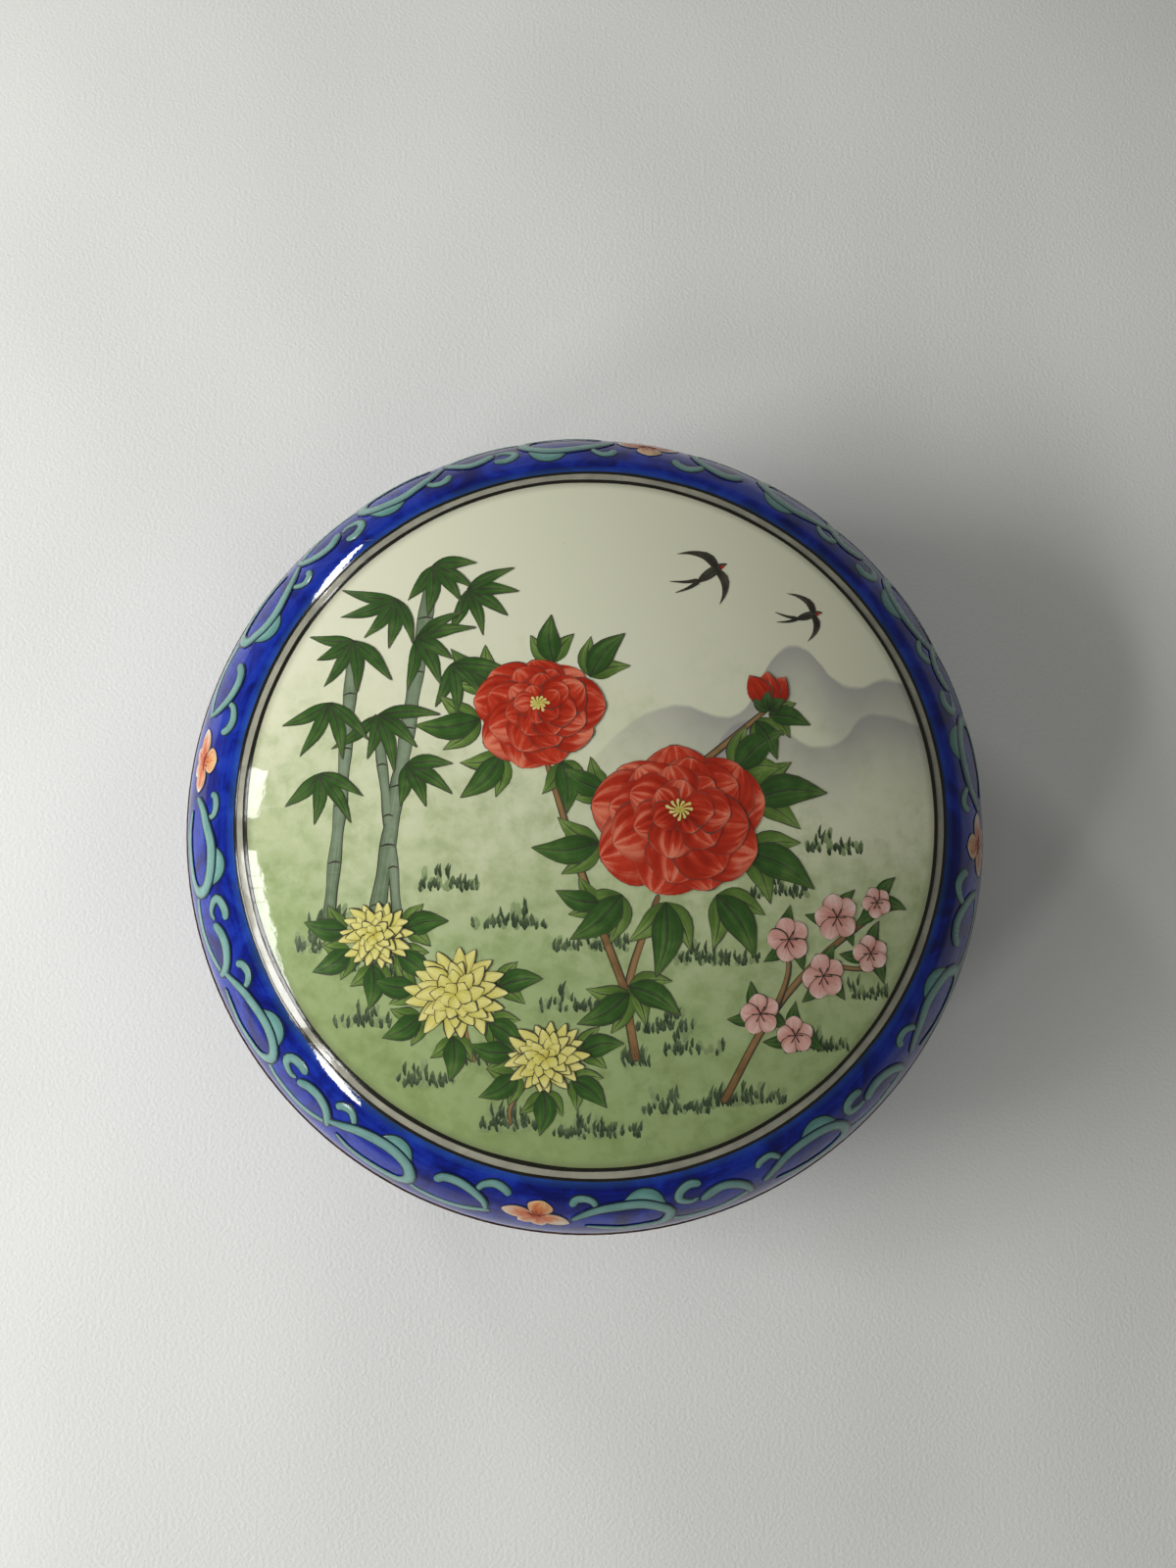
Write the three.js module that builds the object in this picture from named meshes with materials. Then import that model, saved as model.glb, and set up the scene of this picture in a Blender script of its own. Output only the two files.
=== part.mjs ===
// A round porcelain box with a lift-off lid and fired-on enamel decoration.
// Millimetres, +Z up. The origin is the centre of the plane the foot rests on.
import * as THREE from "three";

const rad = THREE.MathUtils.degToRad;

// Whole box
const BOX_R = 60; // widest radius, at the rim of the base, over the enamel
const SEAM_SLOPE = rad(78); // steepness of the lid and the base at the seam
const ENAMEL = 0.25; // thickness of every fired-on coat

// How finely the curves are cut
const FACETS = 48; // sides of every turned piece
const CROWN_STEPS = 5;
const SHOULDER_STEPS = 7;
const CHEEK_STEPS = 7;
const FILLET_STEPS = 6;
const INSIDE_STEPS = 4; // under the crown, with one less under the shoulder
const VINE_STEPS = 42;

// Lid
const LID_SHY = 0.25; // how far the edge of the lid stands in from the rim of the base
const BORDER_W = 9.25; // blue border seen from above, from the ring lines to the edge of the lid
const PANEL_SLOPE = rad(20); // steepness of the crown where the shoulder begins
const LID_WALL = 3.4;
const LIP_W = 4; // flat lip the lid sits on, with its enamel
const INNER_LINE_W = 0.7;
const GREY_LINE_W = 0.9;
const OUTER_LINE_W = 0.45;
const DRESSING_H = 0.7; // brown band along each side of the seam

// Base
const CHEEK_R = 30; // radius of the round side of the base
const BELLY_SLOPE = rad(24); // steepness of the underside down to the foot
const LOWER_LINE_W = 0.7; // dark line that ends the blue ground
const FOOT_INSET = 22; // foot ring, in from the widest place
const FOOT_H = 5;
const FOOT_W = 3; // width of the ring the box rests on
const FOOT_RECESS = 3.6; // depth of the hollow inside the foot ring
const FLOOR_T = 4.8;
const BOWL_FILLET = 20; // curve from the floor to the inside wall
const FLANGE_H = 3.5; // upstand that locates the lid
const FLANGE_T = 2;

// Fits
const FLANGE_CLEARANCE = 0.5; // between the flange and the lid's mouth, all round
const FLANGE_HEADROOM = 1; // above the flange when the lid is on

// Scroll of flowers and vines
const FLOWERS = 4; // on each band, evenly spaced
const FLOWER_TURN = rad(-7.5); // where the first flower stands, from +X
const FLOWER_R = 4.2;
const PETALS = 5;
const PETAL_NOTCH = 0.26; // how far the edge dips between petals, of the radius
const VINE_W = 1.5;
const VINE_END_W = 0.7;
const VINE_WAVES = 3; // between two flowers
const VINE_AMPLITUDE = 2.7;
const LEAF_W = 1.2; // how far a leaf swells out from the vine
const VINE_TO_FLOWER = 1.6;
const RELIEF = 0.3; // thickness of the raised enamel
const RELIEF_GAP = 0.1; // between the raised enamel and the coat below
const LID_BAND_DROP = 6; // band centre line, along the shoulder from the ring lines
const BASE_BAND_DROP = 8; // band centre line, along the base from the seam

// Lid profile: the crown and the shoulder are arcs that share a tangent at the ring lines
const lidR = BOX_R - LID_SHY;
const panelR = lidR - BORDER_W;
const shoulderR = BORDER_W / (Math.sin(SEAM_SLOPE) - Math.sin(PANEL_SLOPE));
const shoulderCentreR = lidR - shoulderR * Math.sin(SEAM_SLOPE);
const crownR = panelR / Math.sin(PANEL_SLOPE);

// Base profile: a round cheek, then a cone that runs in to the foot
const footR = BOX_R - FOOT_INSET;
const cheekCentreR = BOX_R - CHEEK_R * Math.sin(SEAM_SLOPE);
const bellyR = cheekCentreR + CHEEK_R * Math.sin(BELLY_SLOPE);
const bellyRise = (bellyR - footR) * Math.tan(BELLY_SLOPE);
const cheekRise = CHEEK_R * (Math.cos(BELLY_SLOPE) - Math.cos(SEAM_SLOPE));
const seamZ = FOOT_H + bellyRise + cheekRise;
const cheekCentreZ = seamZ + CHEEK_R * Math.cos(SEAM_SLOPE);

const shoulderCentreZ = seamZ - shoulderR * Math.cos(SEAM_SLOPE);
const crownCentreZ = shoulderCentreZ + (shoulderR - crownR) * Math.cos(PANEL_SLOPE);
const mouthR = BOX_R - LIP_W;
const flangeR = mouthR - FLANGE_CLEARANCE;
const bowlR = flangeR - FLANGE_T;
const flangeTopZ = seamZ + FLANGE_H;
const floorZ = FOOT_RECESS + FLOOR_T;
const rebateZ = flangeTopZ + FLANGE_HEADROOM;

// A point of the lid's outside, sunk by depth, where the surface has the given slope
function lidPoint(slope, depth) {
  if (slope < PANEL_SLOPE) {
    const reach = crownR - depth;
    return [reach * Math.sin(slope), crownCentreZ + reach * Math.cos(slope)];
  }
  const reach = shoulderR - depth;
  return [shoulderCentreR + reach * Math.sin(slope), shoulderCentreZ + reach * Math.cos(slope)];
}

// The same for the round side of the base
function basePoint(slope, depth) {
  const reach = CHEEK_R - depth;
  return [cheekCentreR + reach * Math.sin(slope), cheekCentreZ - reach * Math.cos(slope)];
}

// Slope at which an arc of this radius, sunk by depth, meets the seam plane
function seamSlope(radius, depth) {
  return Math.acos((radius * Math.cos(SEAM_SLOPE)) / (radius - depth));
}

// Slope of the crown at a distance from the axis
function crownSlope(radius) {
  return Math.asin(radius / crownR);
}

function steps(from, to, count) {
  return Array.from({ length: count + 1 }, (unused, i) => from + ((to - from) * i) / count);
}

// Turns a profile of [radius, height] points about the Z axis
function turned(profile) {
  const points = profile.map(([radius, height]) => new THREE.Vector2(radius, height));
  return new THREE.LatheGeometry(points, FACETS).rotateX(Math.PI / 2);
}

// A coat between two edges of a surface: the outside first, then back along the body below it
function coat(outside, inside) {
  const loop = [...outside, ...inside.slice().reverse()];
  return turned([...loop, loop[0]]);
}

function solid(positions, faces) {
  const geometry = new THREE.BufferGeometry();
  geometry.setAttribute("position", new THREE.Float32BufferAttribute(positions.flat(), 3));
  geometry.setIndex(faces.flat());
  geometry.computeVertexNormals();
  return geometry;
}

// A band of decoration: places a point by its distance round the band, its height and its lift
function band(centreR, centreZ, radius, upright, slopeAtCentre) {
  const bandR = centreR + radius * Math.sin(slopeAtCentre);
  function place(along, up, lift) {
    const slope = slopeAtCentre - (upright * up) / radius;
    const reach = radius + lift;
    const distance = centreR + reach * Math.sin(slope);
    const turn = along / bandR;
    const height = centreZ + upright * reach * Math.cos(slope);
    return [distance * Math.cos(turn), distance * Math.sin(turn), height];
  }
  return { bandR, place };
}

// One vine between two flowers: a waved ribbon that swells into a leaf at every crest and trough
function vine(where) {
  const start = FLOWER_R + VINE_TO_FLOWER;
  const length = (2 * Math.PI * where.bandR) / FLOWERS - 2 * start;
  const wave = (2 * Math.PI * VINE_WAVES) / length;
  const positions = [];
  const faces = [];
  for (let i = 0; i <= VINE_STEPS; i += 1) {
    const along = (length * i) / VINE_STEPS;
    const lean = VINE_AMPLITUDE * wave * Math.cos(wave * along);
    const run = Math.hypot(1, lean);
    const swell = LEAF_W * Math.sin(wave * along) ** 3;
    const body = Math.sin((Math.PI * i) / VINE_STEPS) ** 0.5;
    const half = (VINE_END_W + (VINE_W - VINE_END_W) * body) / 2;
    const upper = half + Math.max(swell, 0);
    const lower = -half + Math.min(swell, 0);
    const corner = (offset, lift) =>
      where.place(
        start + along - (offset * lean) / run,
        VINE_AMPLITUDE * Math.sin(wave * along) + offset / run,
        lift,
      );
    positions.push(corner(lower, RELIEF_GAP), corner(lower, RELIEF_GAP + RELIEF));
    positions.push(corner(upper, RELIEF_GAP + RELIEF), corner(upper, RELIEF_GAP));
  }
  for (let i = 0; i < VINE_STEPS; i += 1) {
    for (let k = 0; k < 4; k += 1) {
      const a = 4 * i + k;
      const b = 4 * i + ((k + 1) % 4);
      faces.push([a, a + 4, b + 4], [a, b + 4, b]);
    }
  }
  const last = 4 * VINE_STEPS;
  faces.push([0, 1, 2], [0, 2, 3], [last, last + 2, last + 1], [last, last + 3, last + 2]);
  return solid(positions, faces);
}

// One flower: a flat blossom of rounded petals that follows the curve of the surface
function blossom(where) {
  const around = 4 * PETALS;
  const rings = 2;
  const positions = [];
  const faces = [];
  const layer = rings * around + 1;
  for (const lift of [RELIEF_GAP, RELIEF_GAP + RELIEF]) {
    positions.push(where.place(0, 0, lift));
    for (let ring = 1; ring <= rings; ring += 1) {
      for (let i = 0; i < around; i += 1) {
        const angle = (2 * Math.PI * i) / around;
        const dip = PETAL_NOTCH * (1 - Math.abs(Math.cos((PETALS * angle) / 2)));
        const reach = (FLOWER_R * (1 - dip) * ring) / rings;
        positions.push(where.place(-reach * Math.sin(angle), reach * Math.cos(angle), lift));
      }
    }
  }
  for (let i = 0; i < around; i += 1) {
    const next = (i + 1) % around;
    const inner = [1 + i, 1 + next];
    const outer = [1 + around + i, 1 + around + next];
    faces.push([0, inner[1], inner[0]], [layer, layer + inner[0], layer + inner[1]]);
    faces.push([inner[0], outer[1], outer[0]], [inner[0], inner[1], outer[1]]);
    faces.push([layer + inner[0], layer + outer[0], layer + outer[1]]);
    faces.push([layer + inner[0], layer + outer[1], layer + inner[1]]);
    faces.push([outer[0], outer[1], layer + outer[1]], [outer[0], layer + outer[1], layer + outer[0]]);
  }
  return solid(positions, faces);
}

const porcelain = { color: 0xf1efe2, roughness: 0.25 };
const pictureGround = { color: 0xdfe2c4, roughness: 0.25 };
const blueEnamel = { color: 0x1b2f8c, roughness: 0.2 };
const greyEnamel = { color: 0xa8a695, roughness: 0.25 };
const blackEnamel = { color: 0x1e1f17, roughness: 0.3 };
const brownDressing = { color: 0x4a2f1c, roughness: 0.4 };
const turquoiseEnamel = { color: 0x6fa79f, roughness: 0.3 };
const coralEnamel = { color: 0xdf8a66, roughness: 0.3 };

const box = new THREE.Group();
box.name = "porcelain_box";

function piece(name, geometry, finish) {
  const mesh = new THREE.Mesh(geometry, new THREE.MeshStandardMaterial(finish));
  mesh.name = name;
  box.add(mesh);
}

// Slopes where the bands of the lid meet, from the crown out to the seam
const innerLineSlope = crownSlope(panelR - OUTER_LINE_W - GREY_LINE_W - INNER_LINE_W);
const greyLineSlope = crownSlope(panelR - OUTER_LINE_W - GREY_LINE_W);
const outerLineSlope = crownSlope(panelR - OUTER_LINE_W);
const lidDressingSlope = SEAM_SLOPE - DRESSING_H / shoulderR;
const groundSlopes = steps(0, innerLineSlope, CROWN_STEPS);
const shoulderSlopes = steps(PANEL_SLOPE, lidDressingSlope, SHOULDER_STEPS);
const lidSeamBelow = seamSlope(shoulderR, ENAMEL);

// Slopes where the bands of the base meet, from the seam down
const baseDressingSlope = SEAM_SLOPE - DRESSING_H / CHEEK_R;
const lowerLineSlope = BELLY_SLOPE + LOWER_LINE_W / CHEEK_R;
const cheekSlopes = steps(lowerLineSlope, baseDressingSlope, CHEEK_STEPS);
const baseSeamBelow = seamSlope(CHEEK_R, ENAMEL);

// Base: the outside from the foot up, over the flange, then down the inside to the floor
const filletR = Math.min(BOWL_FILLET, flangeTopZ - floorZ);
const bowlFillet = steps(0, Math.PI / 2, FILLET_STEPS).map((turn) => [
  bowlR - filletR * (1 - Math.cos(turn)),
  floorZ + filletR * (1 - Math.sin(turn)),
]);
const baseBody = [BELLY_SLOPE, ...cheekSlopes, baseSeamBelow].map((slope) => basePoint(slope, ENAMEL));
piece(
  "base_bowl",
  turned([
    [0, FOOT_RECESS],
    [footR - FOOT_W, FOOT_RECESS],
    [footR - FOOT_W, 0],
    [footR, 0],
    [footR, FOOT_H],
    ...baseBody,
    [flangeR, seamZ],
    [flangeR, flangeTopZ],
    [bowlR, flangeTopZ],
    ...bowlFillet,
    [0, floorZ],
  ]),
  porcelain,
);

function baseCoat(name, slopes, slopesBelow, finish) {
  const outside = slopes.map((slope) => basePoint(slope, 0));
  const inside = slopesBelow.map((slope) => basePoint(slope, ENAMEL));
  piece(name, coat(outside, inside), finish);
}
baseCoat("base_blue_enamel", cheekSlopes, cheekSlopes, blueEnamel);
baseCoat(
  "base_rim_dressing",
  [baseDressingSlope, SEAM_SLOPE],
  [baseDressingSlope, baseSeamBelow],
  brownDressing,
);
baseCoat("base_lower_line", [BELLY_SLOPE, lowerLineSlope], [BELLY_SLOPE, lowerLineSlope], blackEnamel);

// Lid: the inside from the crown down to the mouth, then the outside back up to the crown
const insideDepth = ENAMEL + LID_WALL;
const rebateSlope = Math.acos((rebateZ - shoulderCentreZ) / (shoulderR - insideDepth));
const underCrown = steps(0, PANEL_SLOPE, INSIDE_STEPS).slice(0, -1);
const lidInside = [...underCrown, ...steps(PANEL_SLOPE, rebateSlope, INSIDE_STEPS - 1)];
const lidOutside = [...groundSlopes, greyLineSlope, outerLineSlope, ...shoulderSlopes, lidSeamBelow];
piece(
  "lid_shell",
  turned([
    ...lidInside.map((slope) => lidPoint(slope, insideDepth)),
    [mouthR, rebateZ],
    [mouthR, seamZ],
    ...lidOutside.map((slope) => lidPoint(slope, ENAMEL)).reverse(),
  ]),
  porcelain,
);

function lidCoat(name, slopes, slopesBelow, finish) {
  const outside = slopes.map((slope) => lidPoint(slope, 0));
  const inside = slopesBelow.map((slope) => lidPoint(slope, ENAMEL));
  piece(name, coat(inside, outside), finish);
}
const groundOutside = groundSlopes.map((slope) => lidPoint(slope, 0));
const groundInside = groundSlopes.map((slope) => lidPoint(slope, ENAMEL));
piece("lid_picture_ground", turned([...groundInside, ...groundOutside.reverse()]), pictureGround);
lidCoat("lid_inner_line", [innerLineSlope, greyLineSlope], [innerLineSlope, greyLineSlope], blackEnamel);
lidCoat("lid_grey_line", [greyLineSlope, outerLineSlope], [greyLineSlope, outerLineSlope], greyEnamel);
lidCoat("lid_outer_line", [outerLineSlope, PANEL_SLOPE], [outerLineSlope, PANEL_SLOPE], blackEnamel);
lidCoat("lid_blue_enamel", shoulderSlopes, shoulderSlopes, blueEnamel);
lidCoat("lid_rim_dressing", [lidDressingSlope, SEAM_SLOPE], [lidDressingSlope, lidSeamBelow], brownDressing);

// The scroll, once round the lid and once round the base
const lidBand = band(
  shoulderCentreR,
  shoulderCentreZ,
  shoulderR,
  1,
  PANEL_SLOPE + LID_BAND_DROP / shoulderR,
);
const baseBand = band(
  cheekCentreR,
  cheekCentreZ,
  CHEEK_R,
  -1,
  SEAM_SLOPE - BASE_BAND_DROP / CHEEK_R,
);
for (const [side, where] of [["lid", lidBand], ["base", baseBand]]) {
  for (let i = 0; i < FLOWERS; i += 1) {
    const turn = FLOWER_TURN + (2 * Math.PI * i) / FLOWERS;
    piece(`${side}_vine_${i + 1}`, vine(where).rotateZ(turn), turquoiseEnamel);
    piece(`${side}_flower_${i + 1}`, blossom(where).rotateZ(turn), coralEnamel);
  }
}

export default box;
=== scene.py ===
"""The looks of a round porcelain box with a lift-off lid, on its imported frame. Metres, +Z up."""

import math
import random

import bpy
import numpy as np
from mathutils import Euler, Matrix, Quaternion, Vector


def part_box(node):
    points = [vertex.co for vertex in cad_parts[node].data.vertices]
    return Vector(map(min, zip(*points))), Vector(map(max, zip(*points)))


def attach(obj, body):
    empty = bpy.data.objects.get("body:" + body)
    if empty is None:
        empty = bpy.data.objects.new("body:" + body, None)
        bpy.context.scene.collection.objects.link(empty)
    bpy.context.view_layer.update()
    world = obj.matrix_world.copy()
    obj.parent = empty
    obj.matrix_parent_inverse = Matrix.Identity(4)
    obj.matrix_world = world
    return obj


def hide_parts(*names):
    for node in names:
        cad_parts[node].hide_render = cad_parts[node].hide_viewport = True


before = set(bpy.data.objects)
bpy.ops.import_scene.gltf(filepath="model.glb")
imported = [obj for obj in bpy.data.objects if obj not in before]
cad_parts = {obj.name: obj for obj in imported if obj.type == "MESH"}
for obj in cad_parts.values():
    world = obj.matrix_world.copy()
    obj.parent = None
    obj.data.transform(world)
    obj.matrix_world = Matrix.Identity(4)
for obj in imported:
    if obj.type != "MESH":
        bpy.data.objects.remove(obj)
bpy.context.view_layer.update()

MM = 0.001
hand = random.Random(11)  # the unevenness of a brush in the hand, the same on every run

# Sizes read from the frame, in millimetres
BOX_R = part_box("base_rim_dressing")[1][0] / MM
LID_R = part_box("lid_rim_dressing")[1][0] / MM
SEAM_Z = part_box("lid_rim_dressing")[0][2] / MM
PANEL_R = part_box("lid_outer_line")[1][0] / MM
INNER_LINE_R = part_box("lid_picture_ground")[1][0] / MM
GREY_LINE_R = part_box("lid_inner_line")[1][0] / MM
OUTER_LINE_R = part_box("lid_grey_line")[1][0] / MM

# Sizes that its boxes don't show, as in the CAD, in millimetres and radians
SEAM_SLOPE = math.radians(78)
PANEL_SLOPE = math.radians(20)
BELLY_SLOPE = math.radians(24)
ENAMEL = 0.25
DRESSING_H = 0.7
LOWER_LINE_W = 0.7
CHEEK_R = 30
LID_WALL = 3.4
LIP_W = 4
FLANGE_CLEARANCE = 0.5
FLANGE_T = 2
FLANGE_H = 3.5
FLANGE_HEADROOM = 1
FOOT_INSET = 22
FOOT_W = 3
FOOT_H = 5
RECESS_Z = 3.6
FLOOR_T = 4.8
BOWL_FILLET = 20
LID_BAND_DROP = 6
BASE_BAND_DROP = 8

# Soft edges and brushwork, which the CAD leaves plain
RIM_SOFT = 0.08
LIP_SOFT = 0.2
EDGE_SOFT = 0.5
PANEL_SINK = 0.22  # the picture's ground lies this much lower at the crown, to hold its enamels
FLOWER_TURNS = [math.radians(a) for a in (-4.5, 81.3, 172.0, 261.4)]  # given one by one, from +X
# The lid's scroll was painted off centre: low by the first value, by the second more or less round the lid,
# and lowest at this turn from +X
SCROLL_LOW = 0.9
SCROLL_SWING = 0.8
LOW_SIDE = math.radians(60)

# What follows from them: seat and flange, foot and floor, then the arcs of shoulder, crown and cheek
MOUTH_R = BOX_R - LIP_W
FLANGE_R = MOUTH_R - FLANGE_CLEARANCE
BOWL_R = FLANGE_R - FLANGE_T
FLANGE_TOP = SEAM_Z + FLANGE_H
REBATE_Z = FLANGE_TOP + FLANGE_HEADROOM
FOOT_R = BOX_R - FOOT_INSET
FLOOR_Z = RECESS_Z + FLOOR_T
SHOULDER_R = (LID_R - PANEL_R) / (math.sin(SEAM_SLOPE) - math.sin(PANEL_SLOPE))
SHOULDER_AXIS = LID_R - SHOULDER_R * math.sin(SEAM_SLOPE)
SHOULDER_Z = SEAM_Z - SHOULDER_R * math.cos(SEAM_SLOPE)
CROWN_R = PANEL_R / math.sin(PANEL_SLOPE)
CROWN_Z = SHOULDER_Z + (SHOULDER_R - CROWN_R) * math.cos(PANEL_SLOPE)
CHEEK_AXIS = BOX_R - CHEEK_R * math.sin(SEAM_SLOPE)
CHEEK_Z = SEAM_Z + CHEEK_R * math.cos(SEAM_SLOPE)


def lid_point(slope, depth=0.0):
    """A point of the lid's outside, as radius and height, sunk by depth."""
    if slope < PANEL_SLOPE:
        reach = CROWN_R - depth
        return reach * math.sin(slope), CROWN_Z + reach * math.cos(slope)
    reach = SHOULDER_R - depth
    return SHOULDER_AXIS + reach * math.sin(slope), SHOULDER_Z + reach * math.cos(slope)


def base_point(slope, depth=0.0):
    """A point of the base's round side, sunk by depth."""
    reach = CHEEK_R - depth
    return CHEEK_AXIS + reach * math.sin(slope), CHEEK_Z - reach * math.cos(slope)


def crown_slope(radius):
    """The slope of the lid's crown at a radius."""
    return math.asin(radius / CROWN_R)


def seam_slope(radius):
    """Where the body under the enamel meets the seam plane."""
    return math.acos(radius * math.cos(SEAM_SLOPE) / (radius - ENAMEL))


def sweep(start, end, count):
    """Even steps from start to end, both included."""
    return [start + (end - start) * i / count for i in range(count + 1)]


# Turned porcelain and its coats
TURN_STEPS = 160


def turned(name, outline, soft_edge=0.0):
    """Draws an outline of radius and height point by point, then spins it about the box's axis."""
    bpy.ops.object.select_all(action="DESELECT")
    bpy.ops.mesh.primitive_plane_add(size=MM)
    piece = bpy.context.object
    piece.name = name
    bpy.ops.object.mode_set(mode="EDIT")
    bpy.ops.mesh.select_all(action="SELECT")
    bpy.ops.mesh.merge(type="CENTER")
    here = (0.0, 0.0)
    for step, point in enumerate(outline):
        move = ((point[0] - here[0]) * MM, 0, (point[1] - here[1]) * MM)
        if step == 0:
            bpy.ops.transform.translate(value=move)
        else:
            bpy.ops.mesh.extrude_region_move(TRANSFORM_OT_translate={"value": move})
        here = point
    bpy.ops.mesh.select_all(action="SELECT")
    bpy.ops.mesh.spin(steps=TURN_STEPS, angle=2 * math.pi, center=(0, 0, 0), axis=(0, 0, 1))
    bpy.ops.mesh.select_all(action="SELECT")
    bpy.ops.mesh.remove_doubles(threshold=1e-6)
    bpy.ops.mesh.normals_make_consistent(inside=False)
    bpy.ops.object.mode_set(mode="OBJECT")
    if soft_edge:
        bevel = piece.modifiers.new("fired edge", "BEVEL")
        bevel.width = soft_edge * MM
        bevel.segments = 3
        bevel.limit_method = "ANGLE"
        bevel.angle_limit = math.radians(40)
        bpy.ops.object.modifier_apply(modifier=bevel.name)
    bpy.ops.object.shade_smooth_by_angle(angle=math.radians(35))
    return piece


def soft_corner(before, corner, after):
    """A rounded corner, from a point before it to one after it."""
    return [
        tuple((1 - t) ** 2 * a + 2 * t * (1 - t) * c + t * t * b for a, c, b in zip(before, corner, after))
        for t in sweep(0, 1, 4)
    ]


def ring_coat(name, outside, inside):
    """A closed coat of enamel between an outside run of points and the body under it."""
    loop = outside + inside[::-1]
    return turned(name, loop + loop[:1])


# Brush strokes of enamel
def through(points, count):
    """Points on a smooth curve through the given ones."""
    given = np.asarray(points, float)
    if given.ndim == 1:
        given = given[:, None]
    framed = np.vstack([2 * given[0] - given[1], given, 2 * given[-1] - given[-2]])
    place = np.linspace(0, len(given) - 1, count)
    start = np.minimum(place.astype(int), len(given) - 2)
    t = (place - start)[:, None]
    a, b, c, d = (framed[start + k] for k in range(4))
    bend = (2 * a - 5 * b + 4 * c - d) * t**2 + (3 * b - a - 3 * c + d) * t**3
    return 0.5 * (2 * b + (c - a) * t + bend)


STROKE_STEPS = 160
TIP_BLUNT = 0.12  # share of its width that a round tip keeps at the very end
TIP_SWELL = 0.3  # share of its swell that a stroke has at the very end
TIP_RISE = 6  # how fast the swell grows from there, per length of the stroke
marks = {}


def mark(rows, cols):
    """A flat strip, modelled once for each fineness; every stroke is a copy laid along its path."""
    if (rows, cols) not in marks:
        bpy.ops.object.select_all(action="DESELECT")
        bpy.ops.mesh.primitive_grid_add(x_subdivisions=rows, y_subdivisions=cols, size=1)
        strip = bpy.context.object
        spots = np.empty(3 * len(strip.data.vertices))
        strip.data.vertices.foreach_get("co", spots)
        spots = spots.reshape(-1, 3)
        marks[rows, cols] = (strip.data.copy(), spots[:, 0] + 0.5, 2 * spots[:, 1])
        bpy.ops.object.delete()
    return marks[rows, cols]


def stroke(strokes, surface, path, left, right, lift, swell, rows, cols, grow=0.0, tips=True):
    """Lays a stroke on a surface along its path, by its reach to the left and the right, with round tips.

    Where grow is given, it is wider all round by that, as an outline under a colour is.
    """
    strip, along, across = mark(rows, cols)
    fine = through(path, STROKE_STEPS)
    gone = np.concatenate([[0], np.cumsum(np.hypot(*np.diff(fine, axis=0).T))])
    t = np.linspace(0, 1, STROKE_STEPS)
    run = np.column_stack([np.interp(t * gone[-1], gone, fine[:, k]) for k in (0, 1)])
    ahead = np.gradient(run, axis=0)
    ahead /= np.maximum(np.hypot(*ahead.T), 1e-9)[:, None]
    run[0] -= grow * ahead[0]
    run[-1] += grow * ahead[-1]
    reach_left, reach_right = (
        np.maximum(through(widths, STROKE_STEPS)[:, 0], 0) + grow
        for widths in (left, left if right is None else right)
    )
    if tips:
        along = 0.5 - 0.5 * np.cos(math.pi * along)
        tip = [0.5 * (reach_left[end] + reach_right[end]) + 0.001 for end in (0, -1)]
        near = np.minimum(t, 1 - t) * gone[-1] / np.where(t < 0.5, *tip)
        bulb = np.maximum(np.sqrt(1 - (1 - np.minimum(near, 1)) ** 2), TIP_BLUNT)
        reach_left *= bulb
        reach_right *= bulb
    x, y, ahead_x, ahead_y, wide_left, wide_right = (
        np.interp(along, t, values)
        for values in (run[:, 0], run[:, 1], ahead[:, 0], ahead[:, 1], reach_left, reach_right)
    )
    side = across * np.where(across > 0, wide_left, wide_right)
    tapered = np.clip(TIP_RISE * np.minimum(along, 1 - along) + TIP_SWELL, 0, 1)
    height = lift + swell * (1 - across**2) * tapered
    spots = surface(x - ahead_y * side, y + ahead_x * side, height)
    mesh = strip.copy()
    mesh.vertices.foreach_set("co", (spots * MM).astype(np.float32).ravel())
    piece = bpy.data.objects.new("stroke", mesh)
    bpy.context.collection.objects.link(piece)
    strokes.append(piece)


def gather(name, strokes, thickness=0.05):
    """Joins strokes of one colour into a piece and gives it its thickness."""
    bpy.ops.object.select_all(action="DESELECT")
    for piece in strokes:
        piece.select_set(True)
    bpy.context.view_layer.objects.active = strokes[0]
    if len(strokes) > 1:
        bpy.ops.object.join()
    piece = bpy.context.object
    piece.name = name
    skin = piece.modifiers.new("enamel", "SOLIDIFY")
    skin.thickness = thickness * MM
    skin.offset = -1
    bpy.ops.object.modifier_apply(modifier=skin.name)
    bpy.ops.object.shade_smooth_by_angle(angle=math.radians(50))
    return piece


def panel(x, y, lift):
    """The lid's crown: x to the right and y up the picture."""
    out = np.sqrt(CROWN_R**2 - x**2 - y**2)
    sunk = PANEL_SINK * np.clip(1 - (x**2 + y**2) / INNER_LINE_R**2, 0, 1)
    share = (CROWN_R - sunk + lift) / CROWN_R
    return np.column_stack([x * share, y * share, CROWN_Z + out * share])


def ring(x, y, lift):
    """The lid's crown round the ring lines: x round the edge of the panel, y out from the axis."""
    turn = x / PANEL_R
    return panel(y * np.cos(turn), y * np.sin(turn), lift)


def border(axis_r, axis_z, radius, upright, slope, drop, swing, start, end):
    """A band round the lid or the base: x runs round it from one flower to the next, and y up it.

    It lies low by drop, and by swing more or less round the box. Its length comes with it.
    """
    band_r = axis_r + radius * math.sin(slope)

    def place(x, y, lift):
        turn = start + x / band_r
        low = drop + swing * np.cos(turn - LOW_SIDE)
        lean = slope - upright * (y - low) / radius
        reach = radius + lift
        out = axis_r + reach * np.sin(lean)
        height = axis_z + upright * reach * np.cos(lean)
        return np.column_stack([out * np.cos(turn), out * np.sin(turn), height])

    return place, ((end - start) % (2 * math.pi)) * band_r


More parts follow.
